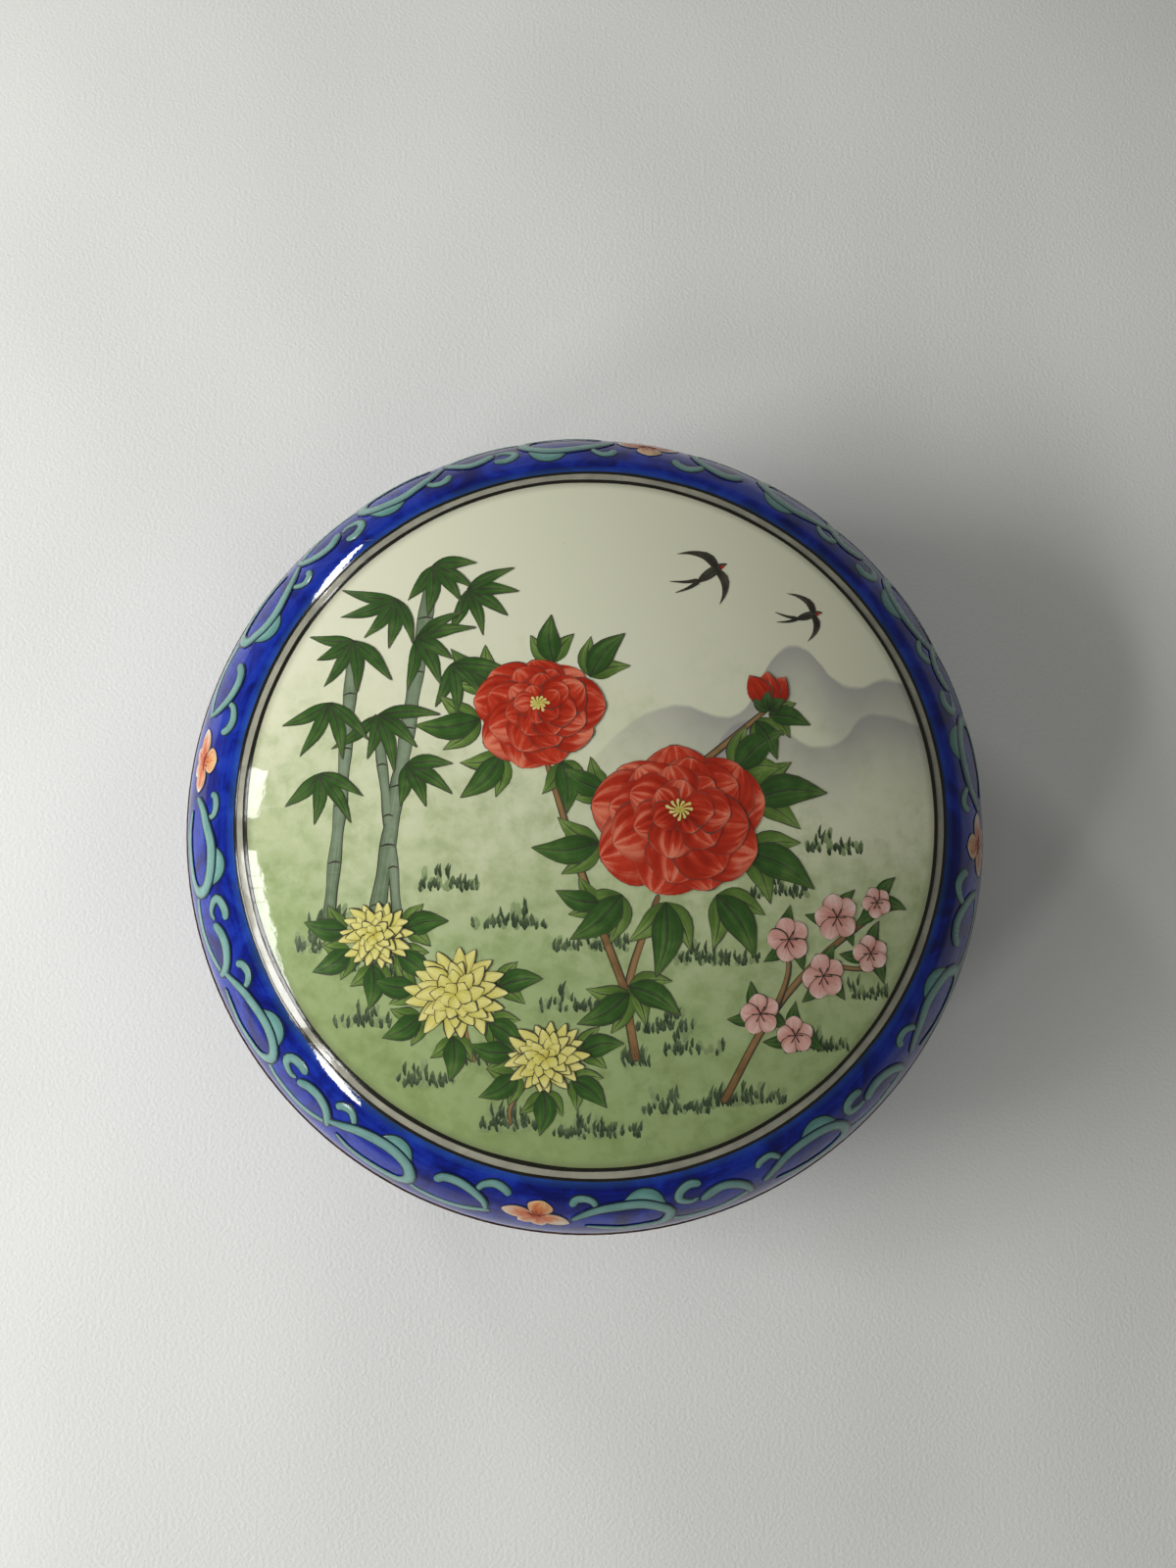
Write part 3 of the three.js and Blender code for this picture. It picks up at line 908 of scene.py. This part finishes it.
grey_slopes = sweep(ground_slopes[-1], crown_slope(0.5 * (OUTER_LINE_R + PANEL_R)), 3)
grey_line = ring_coat(
    "lid_grey_ring", [lid_point(a) for a in grey_slopes], [lid_point(a, ENAMEL) for a in grey_slopes]
)
finish_piece(grey_line, "lid", "grey_enamel", ring_grey, nodes=["lid_grey_line"])

lid_seam_top = SEAM_SLOPE - DRESSING_H / SHOULDER_R
slopes = [grey_slopes[-1]] + sweep(PANEL_SLOPE, lid_seam_top, 26)
lid_blue = ring_coat(
    "lid_cobalt_ground", [lid_point(a) for a in slopes], [lid_point(a, ENAMEL) for a in slopes]
)
finish_piece(lid_blue, "lid", "blue_enamel", cobalt, nodes=["lid_blue_enamel"])
lid_seam = ring_coat(
    "lid_seam_line",
    [lid_point(lid_seam_top)]
    + soft_corner(lid_point(SEAM_SLOPE - LIP_SOFT / SHOULDER_R), (LID_R, SEAM_Z), (LID_R - LIP_SOFT, SEAM_Z)),
    [lid_point(a, ENAMEL) for a in sweep(lid_seam_top, seam_slope(SHOULDER_R), 3)],
)
finish_piece(lid_seam, "lid", "brown_dressing", seam_brown, nodes=["lid_rim_dressing"])

# The two black ring lines, each drawn in one turn of the wheel, a little uneven
RING_POINTS = 60
RING_WIDTHS = 40
RING_ROWS = 360
for name, node_name, low, high, half in [
    ("lid_inner_black_line", "lid_inner_line", INNER_LINE_R, GREY_LINE_R, 0.28),
    ("lid_outer_black_line", "lid_outer_line", OUTER_LINE_R, PANEL_R, 0.2),
]:
    lines = []
    length = 2 * math.pi * PANEL_R
    path = [
        (length * i / RING_POINTS, (low + high) / 2 + hand.uniform(-0.05, 0.05))
        for i in range(RING_POINTS + 1)
    ]
    path[RING_POINTS] = (length, path[0][1])
    widths = [half * hand.uniform(0.88, 1.12) for i in range(RING_WIDTHS)]
    stroke(lines, ring, path, widths, None, lift=0.02, swell=0.004, rows=RING_ROWS, cols=4, tips=False)
    finish_piece(gather(name, lines), "lid", "black_enamel", line_black, nodes=[node_name])

# The border scroll. Each arch turns under and runs back as a thin tail; it carries a leaf cap and a small
# tendril, and a hook, a small arch and a low stem lead on to the next one. Paths are in millimetres from the
# middle of the arch, and the widths are half ones
ARCH = [
    (-7.0, -1.0), (-5.1, 0.4), (-2.9, 1.5), (0.2, 2.2), (3.0, 2.0), (5.2, 1.0), (6.4, -0.5),
    (6.3, -2.0), (5.1, -3.1), (2.8, -3.6), (0.0, -3.6), (-2.6, -3.2), (-5.0, -2.4),
]
ARCH_W = [0.36, 0.64, 0.78, 0.84, 0.86, 0.86, 0.84, 0.8, 0.74, 0.68, 0.6, 0.5, 0.25]
CAP = [(0.1, 2.75), (3.2, 2.7), (5.9, 1.2)]
CAP_W = [0.1, 1.4, 2.0, 2.0, 1.35, 0.1]
CAP_BACK_W = [0.12, 0.12]
TENDRIL = [(-3.8, 1.4), (-4.1, 2.6), (-5.3, 3.4), (-6.7, 3.1), (-7.2, 2.1)]
TENDRIL_W = [0.26, 0.5, 0.6, 0.66, 0.56]
HOOK = [(11.4, 2.8), (9.7, 3.2), (8.2, 2.4), (8.2, 1.1), (9.7, 0.4), (10.8, 0.7)]
HOOK_W = [0.62, 0.76, 0.74, 0.64, 0.5, 0.3]
SMALL_ARCH = [(11.2, 0.3), (13.0, 1.4), (14.9, 1.55), (16.7, 0.6), (17.8, -0.8), (18.2, -2.3)]
SMALL_ARCH_W = [0.66, 0.8, 0.8, 0.74, 0.6, 0.3]
STEM = [(6.2, -2.3), (8.3, -3.3), (11.4, -3.7), (14.6, -3.3), (18.2, -1.8)]
STEM_W = [0.36, 0.58, 0.62, 0.58, 0.4]
LAST_ARCH = [(9.8, 0.7), (10.8, 1.9), (12.8, 2.4), (15.1, 1.7), (17.0, 0.1), (17.8, -1.6)]
LAST_HOOK = [(15.6, 1.4), (16.3, 3.0), (18.1, 3.9), (19.8, 3.3), (20.2, 2.2)]
LAST_HOOK_W = [0.26, 0.54, 0.7, 0.74, 0.6]
# Each petal's turn in degrees, its length and half its width; the apricot one stands upright on top
TOP_PETAL = 90
PETALS = [(-128, 2.9, 1.15), (-52, 2.9, 1.15), (184, 4.6, 1.25), (-4, 4.6, 1.25), (TOP_PETAL, 3.4, 1.8)]
PETAL_W = [0.35, 0.75, 1.0, 0.98, 0.75, 0.2]
ROUND_W = [0.35, 0.75, 1.0, 1.0, 0.8]
HEART_W = [0.2, 0.5, 0.55, 0.5, 0.2]
STAMEN_W = [0.08, 0.1, 0.15]
HEART_LIFT = 0.2
PETAL_LIFT, PETAL_STEP = 0.03, 0.014  # of the first petal, and from each petal to the next
FIRST_ARCH = 12.0  # from a flower to the middle of its first arch
LAST_ROOM = 24.6  # from the middle of the last arch to the next flower
WANDER = 0.15  # how far the brush strays from the pattern
OUTLINE = 0.24
OUTLINE_UP, OUTLINE_DOWN = 0.06, 0.14  # the outline shows more above the vines, and more below the tails
TAIL_TOP = -1.5
LOWER, UPPER = 0.02, 0.12  # strokes that run under the others, and over them
COLOUR_LIFT, COLOUR_SWELL = 0.02, 0.07  # of the colour over its outline
OUTLINE_SWELL = 0.02
FLOWER_DROP = 0.7
LID_BAND_SLOPE = PANEL_SLOPE + LID_BAND_DROP / SHOULDER_R
BASE_BAND_SLOPE = SEAM_SLOPE - BASE_BAND_DROP / CHEEK_R

for side, band in [
    ("lid", (SHOULDER_AXIS, SHOULDER_Z, SHOULDER_R, 1, LID_BAND_SLOPE, SCROLL_LOW, SCROLL_SWING)),
    ("base", (CHEEK_AXIS, CHEEK_Z, CHEEK_R, -1, BASE_BAND_SLOPE, 0, 0)),
]:
    vines, caps, petals, tops, hearts, outlines = ([] for i in range(6))
    for quarter in range(4):
        place, length = border(*band, FLOWER_TURNS[quarter], FLOWER_TURNS[(quarter + 1) % 4])
        gap = (length - FIRST_ARCH - LAST_ROOM) / 2
        for k in range(3):
            centre = FIRST_ARCH + gap * k
            # Each stroke's path, widths, rows of faces and lift
            drawn = [(STEM, STEM_W, 20, LOWER), (CAP, CAP_W, 20, LOWER), (TENDRIL, TENDRIL_W, 20, LOWER)]
            if k < 2:
                drawn += [(HOOK, HOOK_W, 22, LOWER), (SMALL_ARCH, SMALL_ARCH_W, 20, UPPER)]
            else:
                drawn += [(LAST_HOOK, LAST_HOOK_W, 20, LOWER), (LAST_ARCH, SMALL_ARCH_W, 20, UPPER)]
            for path, left, rows, lift in drawn + [(ARCH, ARCH_W, 48, UPPER)]:
                tall = hand.uniform(0.9, 1.25) if path is HOOK else 1.0
                brushed = [
                    (centre + x + hand.uniform(-WANDER, WANDER), tall * y + hand.uniform(-WANDER, WANDER))
                    for x, y in path
                ]
                firm = hand.uniform(0.81, 0.95)
                widths = [w * firm for w in left]
                right = CAP_BACK_W if path is CAP else None
                inked = [(x, y + (OUTLINE_UP if y > TAIL_TOP else -OUTLINE_DOWN)) for x, y in brushed]
                stroke(outlines, place, inked, widths, right, lift, OUTLINE_SWELL, rows, cols=5, grow=OUTLINE)
                colour = caps if path is CAP else vines
                lift += COLOUR_LIFT
                stroke(colour, place, brushed, widths, right, lift, COLOUR_SWELL, rows, cols=5)
        lean = hand.uniform(-12, 12)
        for order, (degrees, reach, half) in enumerate(PETALS):
            angle = math.radians(degrees + lean + hand.uniform(-5, 5))
            reach *= hand.uniform(0.93, 1.07)
            path = [
                (r * math.cos(angle), r * math.sin(angle) - FLOWER_DROP) for r in (0.35, 0.5 * reach, reach)
            ]
            widths = [half * w for w in (ROUND_W if degrees == TOP_PETAL else PETAL_W)]
            colour = tops if degrees == TOP_PETAL else petals
            lift = PETAL_LIFT + PETAL_STEP * order
            stroke(outlines, place, path, widths, None, lift, OUTLINE_SWELL, rows=16, cols=6, grow=OUTLINE)
            lift += COLOUR_LIFT
            stroke(colour, place, path, widths, None, lift, COLOUR_SWELL, rows=16, cols=6)
        heart = [(x, -FLOWER_DROP) for x in (-0.6, 0.0, 0.6)]
        stroke(hearts, place, heart, HEART_W, None, HEART_LIFT, swell=0.06, rows=8, cols=4)
        for i in range(5):
            angle = math.radians(20 + 35 * i + hand.uniform(-9, 9))
            path = [(r * math.cos(angle), r * math.sin(angle) - FLOWER_DROP) for r in (0.56, 1.4)]
            stroke(hearts, place, path, STAMEN_W, None, HEART_LIFT, swell=0.03, rows=4, cols=2)
    vine_nodes = [f"{side}_vine_{i}" for i in (1, 2, 3, 4)]
    flower_nodes = [f"{side}_flower_{i}" for i in (1, 2, 3, 4)]
    finish_piece(gather(f"{side}_scroll_vines", vines), side, "turquoise_enamel", turquoise, nodes=vine_nodes)
    finish_piece(gather(f"{side}_scroll_leaf_caps", caps), side, "turquoise_enamel", cap_turquoise)
    finish_piece(gather(f"{side}_scroll_petals", petals), side, "coral_enamel", coral, nodes=flower_nodes)
    finish_piece(gather(f"{side}_scroll_top_petals", tops), side, "coral_enamel", apricot)
    finish_piece(gather(f"{side}_scroll_hearts", hearts), side, "coral_enamel", heart_red)
    finish_piece(gather(f"{side}_scroll_outlines", outlines), side, "black_enamel", outline_dark)

# The garden picture: peonies before far hills, bamboo, chrysanthemums, small blossoms, grass and swallows.
# Places are in millimetres from the middle of the panel, and the widths are half ones, or shares of a size
OVER_INK = 0.005  # how far a colour lies over its dark outline
INK_SWELL = 0.002
LEAF_W = (0.1, 0.8, 1.0, 0.8, 0.42, 0.0)
MIDRIB_W = (0.11, 0.08, 0.03)
PEONY_RINGS = ((9, 1, 0.4, 0), (8, 0.8, 0.4, 0.05), (7, 0.58, 0.42, 0.1), (5, 0.36, 0.48, 0.12))
PEONY_W = (0.2, 0.6, 0.92, 1.05, 1.0, 0.84)
PEONY_FLAT = 0.86  # height of a peony to its width
PEONY_STAMENS = 11
PEONY_HEART = 0.12  # how far above its middle the stamens stand, as a share of its size
CHRYSANTHEMUM_RINGS = ((17, 1.0), (13, 0.76), (9, 0.52), (5, 0.3))
CHRYSANTHEMUM_W = (0.04, 0.08, 0.12, 0.14, 0.1, 0.02)
CHRYSANTHEMUM_FLAT = 0.9
BLOSSOM_W = (0.1, 0.3, 0.43, 0.47, 0.42)
BLOSSOM_TURN = 1.257  # a fifth of a turn
BLOSSOM_STAMEN_TURN = 1.05  # a sixth
ink, red, green, olive, grass, haze, bamboo, gold, rose, tan = ([] for i in range(10))


def painted(colour, path, left, lift, rim=0.11, swell=0.003, rows=12, cols=4):
    """A stroke of colour on the panel, a little off the uneven dark outline brushed round it."""
    uneven = [[w + rim * hand.uniform(-0.6, 0.5) for w in left] for edge in range(2)]
    stroke(ink, panel, path, *uneven, lift, INK_SWELL, rows, cols, grow=rim)
    off_x, off_y = hand.uniform(-0.5, 0.5) * rim, hand.uniform(-0.5, 0.5) * rim
    moved = [(x + off_x, y + off_y) for x, y in path]
    stroke(colour, panel, moved, left, None, lift + OVER_INK, swell, rows, cols)


def toward(x, y, angle, length, bow=0.0, tall=1.0):
    """Three points from a root in a direction, bowed to one side and flattened in height."""
    ahead, aside = math.cos(angle), math.sin(angle)
    return [
        (x + length * (t * ahead - b * aside), y + tall * length * (t * aside + b * ahead))
        for t, b in ((0, 0), (0.5, bow), (1, 0))
    ]


def leaf(colour, x, y, degrees, length, width, lift, bow=0.08):
    """A pointed leaf with a dark midrib."""
    path = toward(x, y, math.radians(degrees), length, bow)
    painted(colour, path, [width * w for w in LEAF_W], lift)
    stroke(ink, panel, path, MIDRIB_W, None, lift + 0.014, swell=0.0, rows=8, cols=2)


def peony(x, y, size, turn, lift):
    """Four rings of broad petals, the inner ones higher, then a few yellow stamens."""
    for count, reach, wide, rise in PEONY_RINGS:
        for i in range(count):
            angle = turn + 2 * math.pi * (i + hand.uniform(-0.15, 0.15)) / count
            length = size * reach * hand.uniform(0.9, 1.05)
            path = toward(x, y + rise * size, angle, length, hand.uniform(-0.08, 0.08), PEONY_FLAT)
            widths = [length * wide * w for w in PEONY_W]
            painted(red, path, widths, lift, rows=16, cols=6)
            lift += 0.009
        turn += 0.35
    for i in range(PEONY_STAMENS):
        angle = 2 * math.pi * i / PEONY_STAMENS
        length = 0.16 * size * hand.uniform(0.7, 1.1)
        path = toward(x, y + PEONY_HEART * size, angle, length, 0.1, PEONY_FLAT)
        stroke(gold, panel, path, [0.1, 0.12, 0.3], None, lift + 0.006, swell=0.004, rows=5, cols=2)


def chrysanthemum(x, y, size, lift):
    """Four rings of narrow petals round a small heart."""
    for count, reach in CHRYSANTHEMUM_RINGS:
        for i in range(count):
            angle = 2 * math.pi * (i + hand.uniform(-0.2, 0.2)) / count + 3 * reach
            length = size * reach * hand.uniform(0.9, 1.06)
            path = toward(x, y, angle, length, hand.uniform(-0.1, 0.1), CHRYSANTHEMUM_FLAT)
            widths = [size * w for w in CHRYSANTHEMUM_W]
            painted(gold, path, widths, lift, rim=0.13, swell=0.002, rows=7, cols=3)
            lift += 0.008


def blossom(x, y, size, lift):
    """Five round petals with dark stamens."""
    turn = hand.uniform(0, 1)
    for i in range(5):
        path = toward(x, y, turn + BLOSSOM_TURN * i, size, hand.uniform(-0.08, 0.08))
        painted(rose, path, [size * w for w in BLOSSOM_W], lift + 0.012 * i, rim=0.12)
    for i in range(6):
        path = toward(x, y, BLOSSOM_STAMEN_TURN * i, 0.45 * size)
        stroke(ink, panel, path, [0.06, 0.07, 0.13], None, lift + 0.08, INK_SWELL, rows=4, cols=2)


def twig(path, width, lift):
    """A woody stem that thins towards its end."""
    painted(tan, path, [width, 0.8 * width, 0.6 * width], lift, rim=0.14, swell=0.006, rows=16)


def swallow(x, y, turn, size, lift):
    """A bird in flight: body, two bent wings and a forked tail."""
    ahead, aside = size * math.cos(turn), size * math.sin(turn)
    for points, width in [
        ([(-3.0, -0.2), (-1.0, 0.1), (1.6, 0.5), (2.6, 0.4)], [0.1, 0.62, 0.75, 0.55, 0.1]),
        ([(0.9, 0.5), (0.6, 2.6), (-1.2, 4.2), (-3.2, 5.0)], [0.5, 0.75, 0.5, 0.25, 0.02]),
        ([(0.7, 0.2), (0.9, -1.6), (-0.2, -3.4), (-1.8, -4.6)], [0.45, 0.7, 0.5, 0.25, 0.02]),
        ([(-2.6, 0.0), (-4.4, 0.6), (-6.4, 1.7)], [0.35, 0.22, 0.05]),
        ([(-2.6, -0.2), (-4.5, -0.4), (-6.6, -0.2)], [0.35, 0.22, 0.05]),
    ]:
        path = [(x + ahead * u - aside * v, y + aside * u + ahead * v) for u, v in points]
        stroke(ink, panel, path, [size * w for w in width], None, lift, swell=0.004, rows=12, cols=4)
        lift += 0.008
    throat = [(x + ahead * u - aside * v, y + aside * u + ahead * v) for u, v in ((1.2, 0.25), (2.0, 0.3))]
    stroke(red, panel, throat, [0.16, 0.22, 0.1], None, lift + 0.006, swell=0.002, rows=5, cols=2)


def tuft(x, y, wide, count, tall):
    """A clump of grass: a pale wash in wide touches, then short upright dark ones."""
    for dab in range(count // 2):
        root = x + hand.uniform(-wide, wide), y + hand.uniform(-0.6, 0.6)
        path = toward(*root, math.radians(90 + hand.uniform(-25, 25)), tall * hand.uniform(0.5, 0.9), 0.1)
        stroke(haze, panel, path, [0.3, 0.42, 0.25], None, lift=0.002, swell=0.002, rows=5, cols=2)
    for blade in range(count):
        root = x + hand.uniform(-wide, wide), y + hand.uniform(-0.6, 0.6)
        path = toward(*root, math.radians(90 + hand.uniform(-16, 16)), tall * hand.uniform(0.5, 1.0), 0.1)
        stroke(grass, panel, path, [0.14, 0.24, 0.05], None, lift=0.006, swell=0.002, rows=4, cols=2)


# Grass over the ground, each clump with a smaller one behind it
for x, y, wide, count in [
    (-20, -11, 4, 14), (-12, -16, 5, 20), (-1, -19, 5, 18), (16, -21, 6, 22), (25, -12, 4, 14),
    (33, -6, 4, 12), (-38, -19, 3, 14), (-32, -29, 4, 16), (-23, -37, 4, 18), (-12, -43, 4, 16),
    (0, -44, 6, 26), (11, -41, 5, 20), (9, -30, 4, 16), (22, -40, 4, 16), (31, -33, 4, 14),
    (38, -26, 3, 10), (13, -33, 4, 12), (-4, -27, 4, 14),
]:
    tuft(x, y, wide, 2 * count, 1.7)
    tuft(x + hand.uniform(-2, 2), y + 1.2, 0.4 * wide, count // 3, 2.4)

# Bamboo: three stalks with their joints, then fans of leaves
for start, end, count, width in [
    ((-31, -21), (-23, 35), 7, 0.95),
    ((-36.5, -15), (-34, 24), 5, 0.8),
    ((-26.5, -22), (-30.5, 13), 5, 0.6),
]:
    stalk = [
        (start[0] + t * (end[0] - start[0]) + 0.5 * math.sin(3 * t), start[1] + t * (end[1] - start[1]))
        for t in sweep(0, 1, 2 * count)
    ]
    widths = [width * w for w in [1.12, 0.9] * count + [0.9]]
    painted(bamboo, stalk, widths, lift=0.01, rim=0.12, rows=8 * count)
    for x, y in stalk[2:-1:2]:
        joint = [(x - 1.2 * width, y - 0.2), (x, y + 0.1), (x + 1.2 * width, y - 0.1)]
        stroke(ink, panel, joint, [0.05, 0.13, 0.08], None, lift=0.03, swell=0.001, rows=8, cols=2)
for x, y, spread, count in [
    (-23, 35, -60, 5), (-18, 31, -40, 5), (-25, 24, -30, 5), (-34, 24, -120, 5), (-37, 15, -100, 4),
    (-28, 30, -130, 5), (-30, 13, -70, 5), (-20, 20, -60, 4), (-38, 5, -80, 4), (-26, 6, -50, 4),
]:
    for i in range(count):
        degrees = spread + 34 * (i - 0.5 * (count - 1)) + hand.uniform(-8, 8)
        leaf(green, x, y, degrees, hand.uniform(5.5, 8.5), hand.uniform(0.75, 1.0), 0.03 + 0.022 * i, 0.05)

# Two peonies and a bud on their stems, among leaves in threes
LEAF_THREE = ((-36, 0.72), (36, 0.72), (0, 1.0))  # the turn of each leaf and its share of the length
twig([(5, -34), (4, -24), (8, -12)], 0.55, 0.01)
twig([(4, -26), (-2, -10), (-7, 6)], 0.5, 0.03)
twig([(13, 5), (18, 9), (24, 14)], 0.4, 0.03)
for x, y, degrees, length, width in [
    (19, 5, 40, 9, 2.0), (21, 1, 6, 11, 2.3), (20, -6, -28, 11, 2.3), (16, -12, -58, 10, 2.1),
    (9, -13, -98, 10, 2.1), (3, -12, -140, 9, 2.0), (0, -5, -176, 9, 1.9), (1, 2, 150, 7, 1.6),
    (-14, 17, 140, 8, 1.7), (-16, 12, 184, 9, 1.8), (-13, 7, 226, 8, 1.7), (-6, 20, 92, 7, 1.6),
    (-1, 18, 52, 8, 1.7), (-5, 6, -84, 7, 1.6), (24, 13, -12, 6, 1.4), (22, 12, -62, 6, 1.3),
    (4, -24, -30, 8, 1.7), (4, -25, -150, 8, 1.7), (0, -13, -196, 6, 1.4),
]:
    for turn, share in LEAF_THREE:
        colour, lift = (olive, 0.045) if turn else (green, 0.065)
        leaf(colour, x, y, degrees + turn, length * share, width * share, lift)
peony(11, -2, 12.5, 0.2, 0.09)
peony(-8, 13, 9, 0.9, 0.09)
for degrees in (60, 120, 90):
    path = toward(24, 14, math.radians(degrees), 5.2, 0.02 * (90 - degrees) / 30)
    painted(red, path, [0.5, 1.4, 1.8, 1.3, 0.1], 0.09 + 0.0004 * degrees, cols=6)
for degrees in (35, 145, 90):
    leaf(green, 24, 13.6, degrees, 2.8, 0.8, 0.15 + 0.02 * (degrees == 90))

# Three chrysanthemums with leaves round them
for x, y, size in ((-19, -25, 7), (-7, -33.5, 5.6), (-30, -17, 5)):
    twig([(x, y), (0.5 * x - 8, y - 6), (0.4 * x - 9, y - 9)], 0.3, 0.008)
    for degrees in (-150, -95, -40, 10, 170):
        root = toward(x, y, math.radians(degrees), 0.8 * size)[2]
        for turn, share in ((-42, 0.7), (42, 0.7), (0, 1.0)):
            colour, lift = (olive, 0.03) if turn else (green, 0.05)
            leaf(colour, *root, degrees + turn, 6 * share, 1.5 * share, lift)
    chrysanthemum(x, y, size, 0.08)

# A spray of small blossoms
twig([(17, -40), (23, -29), (30, -21), (38, -15)], 0.5, 0.01)
twig([(24, -28), (26, -22), (25, -17)], 0.35, 0.03)
twig([(30, -21), (35, -22), (39, -22)], 0.3, 0.03)
for x, y, size in [
    (26, -18, 3.0), (33, -15, 3.2), (22, -28, 2.8), (31, -23, 3.1), (38, -20, 2.6), (27, -31, 2.6),
    (39, -13, 2.2),
]:
    for turn in (200, 320, 80):
        leaf(green, x, y, turn + hand.uniform(-30, 30), 4.6, 1.0, 0.04)
    blossom(x, y, size, 0.08)

# Two swallows above, and taller grass at the foot of each plant
swallow(17, 34, 0.5, 1.0, 0.02)
swallow(31, 28, 0.2, 0.8, 0.02)
for x, y in ((5, -34.5), (17, -40), (-31, -21.5), (-36.5, -15.5), (-26.5, -22.5), (-17, -34), (-12, -42)):
    tuft(x, y, 2.2, 16, 2.8)

for name, strokes, slot, material in [
    ("picture_dark_lines", ink, "black_enamel", line_grey),
    ("picture_peony_red", red, "coral_enamel", peony_red),
    ("picture_leaf_green", green, "turquoise_enamel", leaf_enamel),
    ("picture_leaf_olive", olive, "turquoise_enamel", olive_enamel),
    ("picture_grass_wash", haze, "turquoise_enamel", moss_wash),
    ("picture_grass", grass, "turquoise_enamel", moss),
    ("picture_bamboo", bamboo, "turquoise_enamel", bamboo_enamel),
    ("picture_yellow", gold, "picture_ground", gold_enamel),
    ("picture_pink", rose, "coral_enamel", rose_enamel),
    ("picture_stems", tan, "brown_dressing", stem_enamel),
]:
    finish_piece(gather("lid_" + name, strokes, 0.02), "lid", slot, material)

# The sheet of paper, then the lamps, in metres
SHEET = 4
bpy.ops.object.select_all(action="DESELECT")
bpy.ops.mesh.primitive_plane_add(size=SHEET)
floor = bpy.context.object
floor.name = "paper_floor"
floor.data.materials.append(paper)


def window(name, spot, aim, width, height, power, shape="RECTANGLE", roll=0.0, mirrored=True):
    """A soft lamp like a window, turned to the box and rolled; the glaze may mirror it or not."""
    lamp = bpy.data.lights.new(name, "AREA")
    lamp.shape = shape
    lamp.size = width
    lamp.size_y = height
    lamp.energy = power
    holder = bpy.data.objects.new(name, lamp)
    holder.location = spot
    facing = (Vector(aim) - Vector(spot)).to_track_quat("-Z", "Y")
    holder.rotation_euler = (facing @ Quaternion((0, 0, 1), math.radians(roll))).to_euler()
    holder.visible_glossy = mirrored
    bpy.context.collection.objects.link(holder)


window("daylight_left", (-0.448, -0.031, 0.249), (0, 0, 0.03), 0.27, 0.17, 1.9, mirrored=False)
window("soft_fill_above", (0, 0, 1.2), (0, 0, 0), 1.2, 1.2, 1.7, mirrored=False)
window("pane_left_near", (-0.4675, 0.0866, 0.391), (-0.048, 0.005, 0.039), 0.07, 0.035, 0.09)
window("pane_left_far", (-0.448, -0.1276, 0.397), (-0.0465, -0.0125, 0.039), 0.27, 0.04, 0.48)
window("pane_back_left", (-0.3514, 0.4164, 0.2791), (-0.037, 0.035, 0.038), 0.144, 0.053, 0.53, "ELLIPSE", 49)
window(
    "pane_front_left", (-0.3312, -0.3142, 0.3283), (-0.036, -0.034, 0.038), 0.122, 0.055, 0.42, "ELLIPSE", -37
)

# The room: a low even light on the box, and a wall that the eye and the glaze see. It meets the sheet in one
# tone and darkens upwards, sooner on the side away from the window. Rises are those of the line of sight
ROOM_LIGHT = 0.14
WALL_DARK = 0.15
WALL_FOOT = 0.02
SHADE_TOP_LEFT = 0.35
SHADE_TOP_RIGHT = 0.18
world = bpy.data.worlds.new("room")
world.use_nodes = True
world.node_tree.nodes.clear()
ways = node(world, "ShaderNodeTexCoord")
rise = node(world, "ShaderNodeSeparateXYZ", {0: ways.outputs["Generated"]})
shade_top = node(
    world,
    "ShaderNodeMapRange",
    {0: rise.outputs["X"], 1: -0.6, 2: 0.8, 3: SHADE_TOP_LEFT, 4: SHADE_TOP_RIGHT},
)
wall = node(
    world,
    "ShaderNodeMapRange",
    {0: rise.outputs["Z"], 1: WALL_FOOT, 2: shade_top.outputs[0], 3: BACKDROP, 4: WALL_DARK},
    interpolation_type="SMOOTHSTEP",
)
strength = node(world, "ShaderNodeMix", {0: seen(world), 2: ROOM_LIGHT, 3: wall.outputs[0]})
air = node(world, "ShaderNodeBackground", {"Color": ROOM, "Strength": strength.outputs[0]})
node(world, "ShaderNodeOutputWorld", {"Surface": air.outputs[0]})
bpy.context.scene.world = world
bpy.context.scene.view_settings.view_transform = "Standard"

# The camera, held over the box a little to the left and the near side: millimetres, and turns in radians
LENS_MM = 27.045
SENSOR_MM = 36
TILT = 0.1326
SWAY = -0.049
LENS_SPOT = (-9.16, -18.0, 176.31 + SEAM_Z)
lens = bpy.data.cameras.new("phone_camera")
lens.sensor_width = SENSOR_MM
lens.lens = LENS_MM
lens.clip_start = 0.01
camera = bpy.data.objects.new("phone_camera", lens)
turn = Euler((TILT, 0, 0)).to_matrix() @ Euler((0, SWAY, 0)).to_matrix()
camera.rotation_euler = turn.to_euler()
camera.location = [part * MM for part in LENS_SPOT]
bpy.context.collection.objects.link(camera)
bpy.context.scene.camera = camera
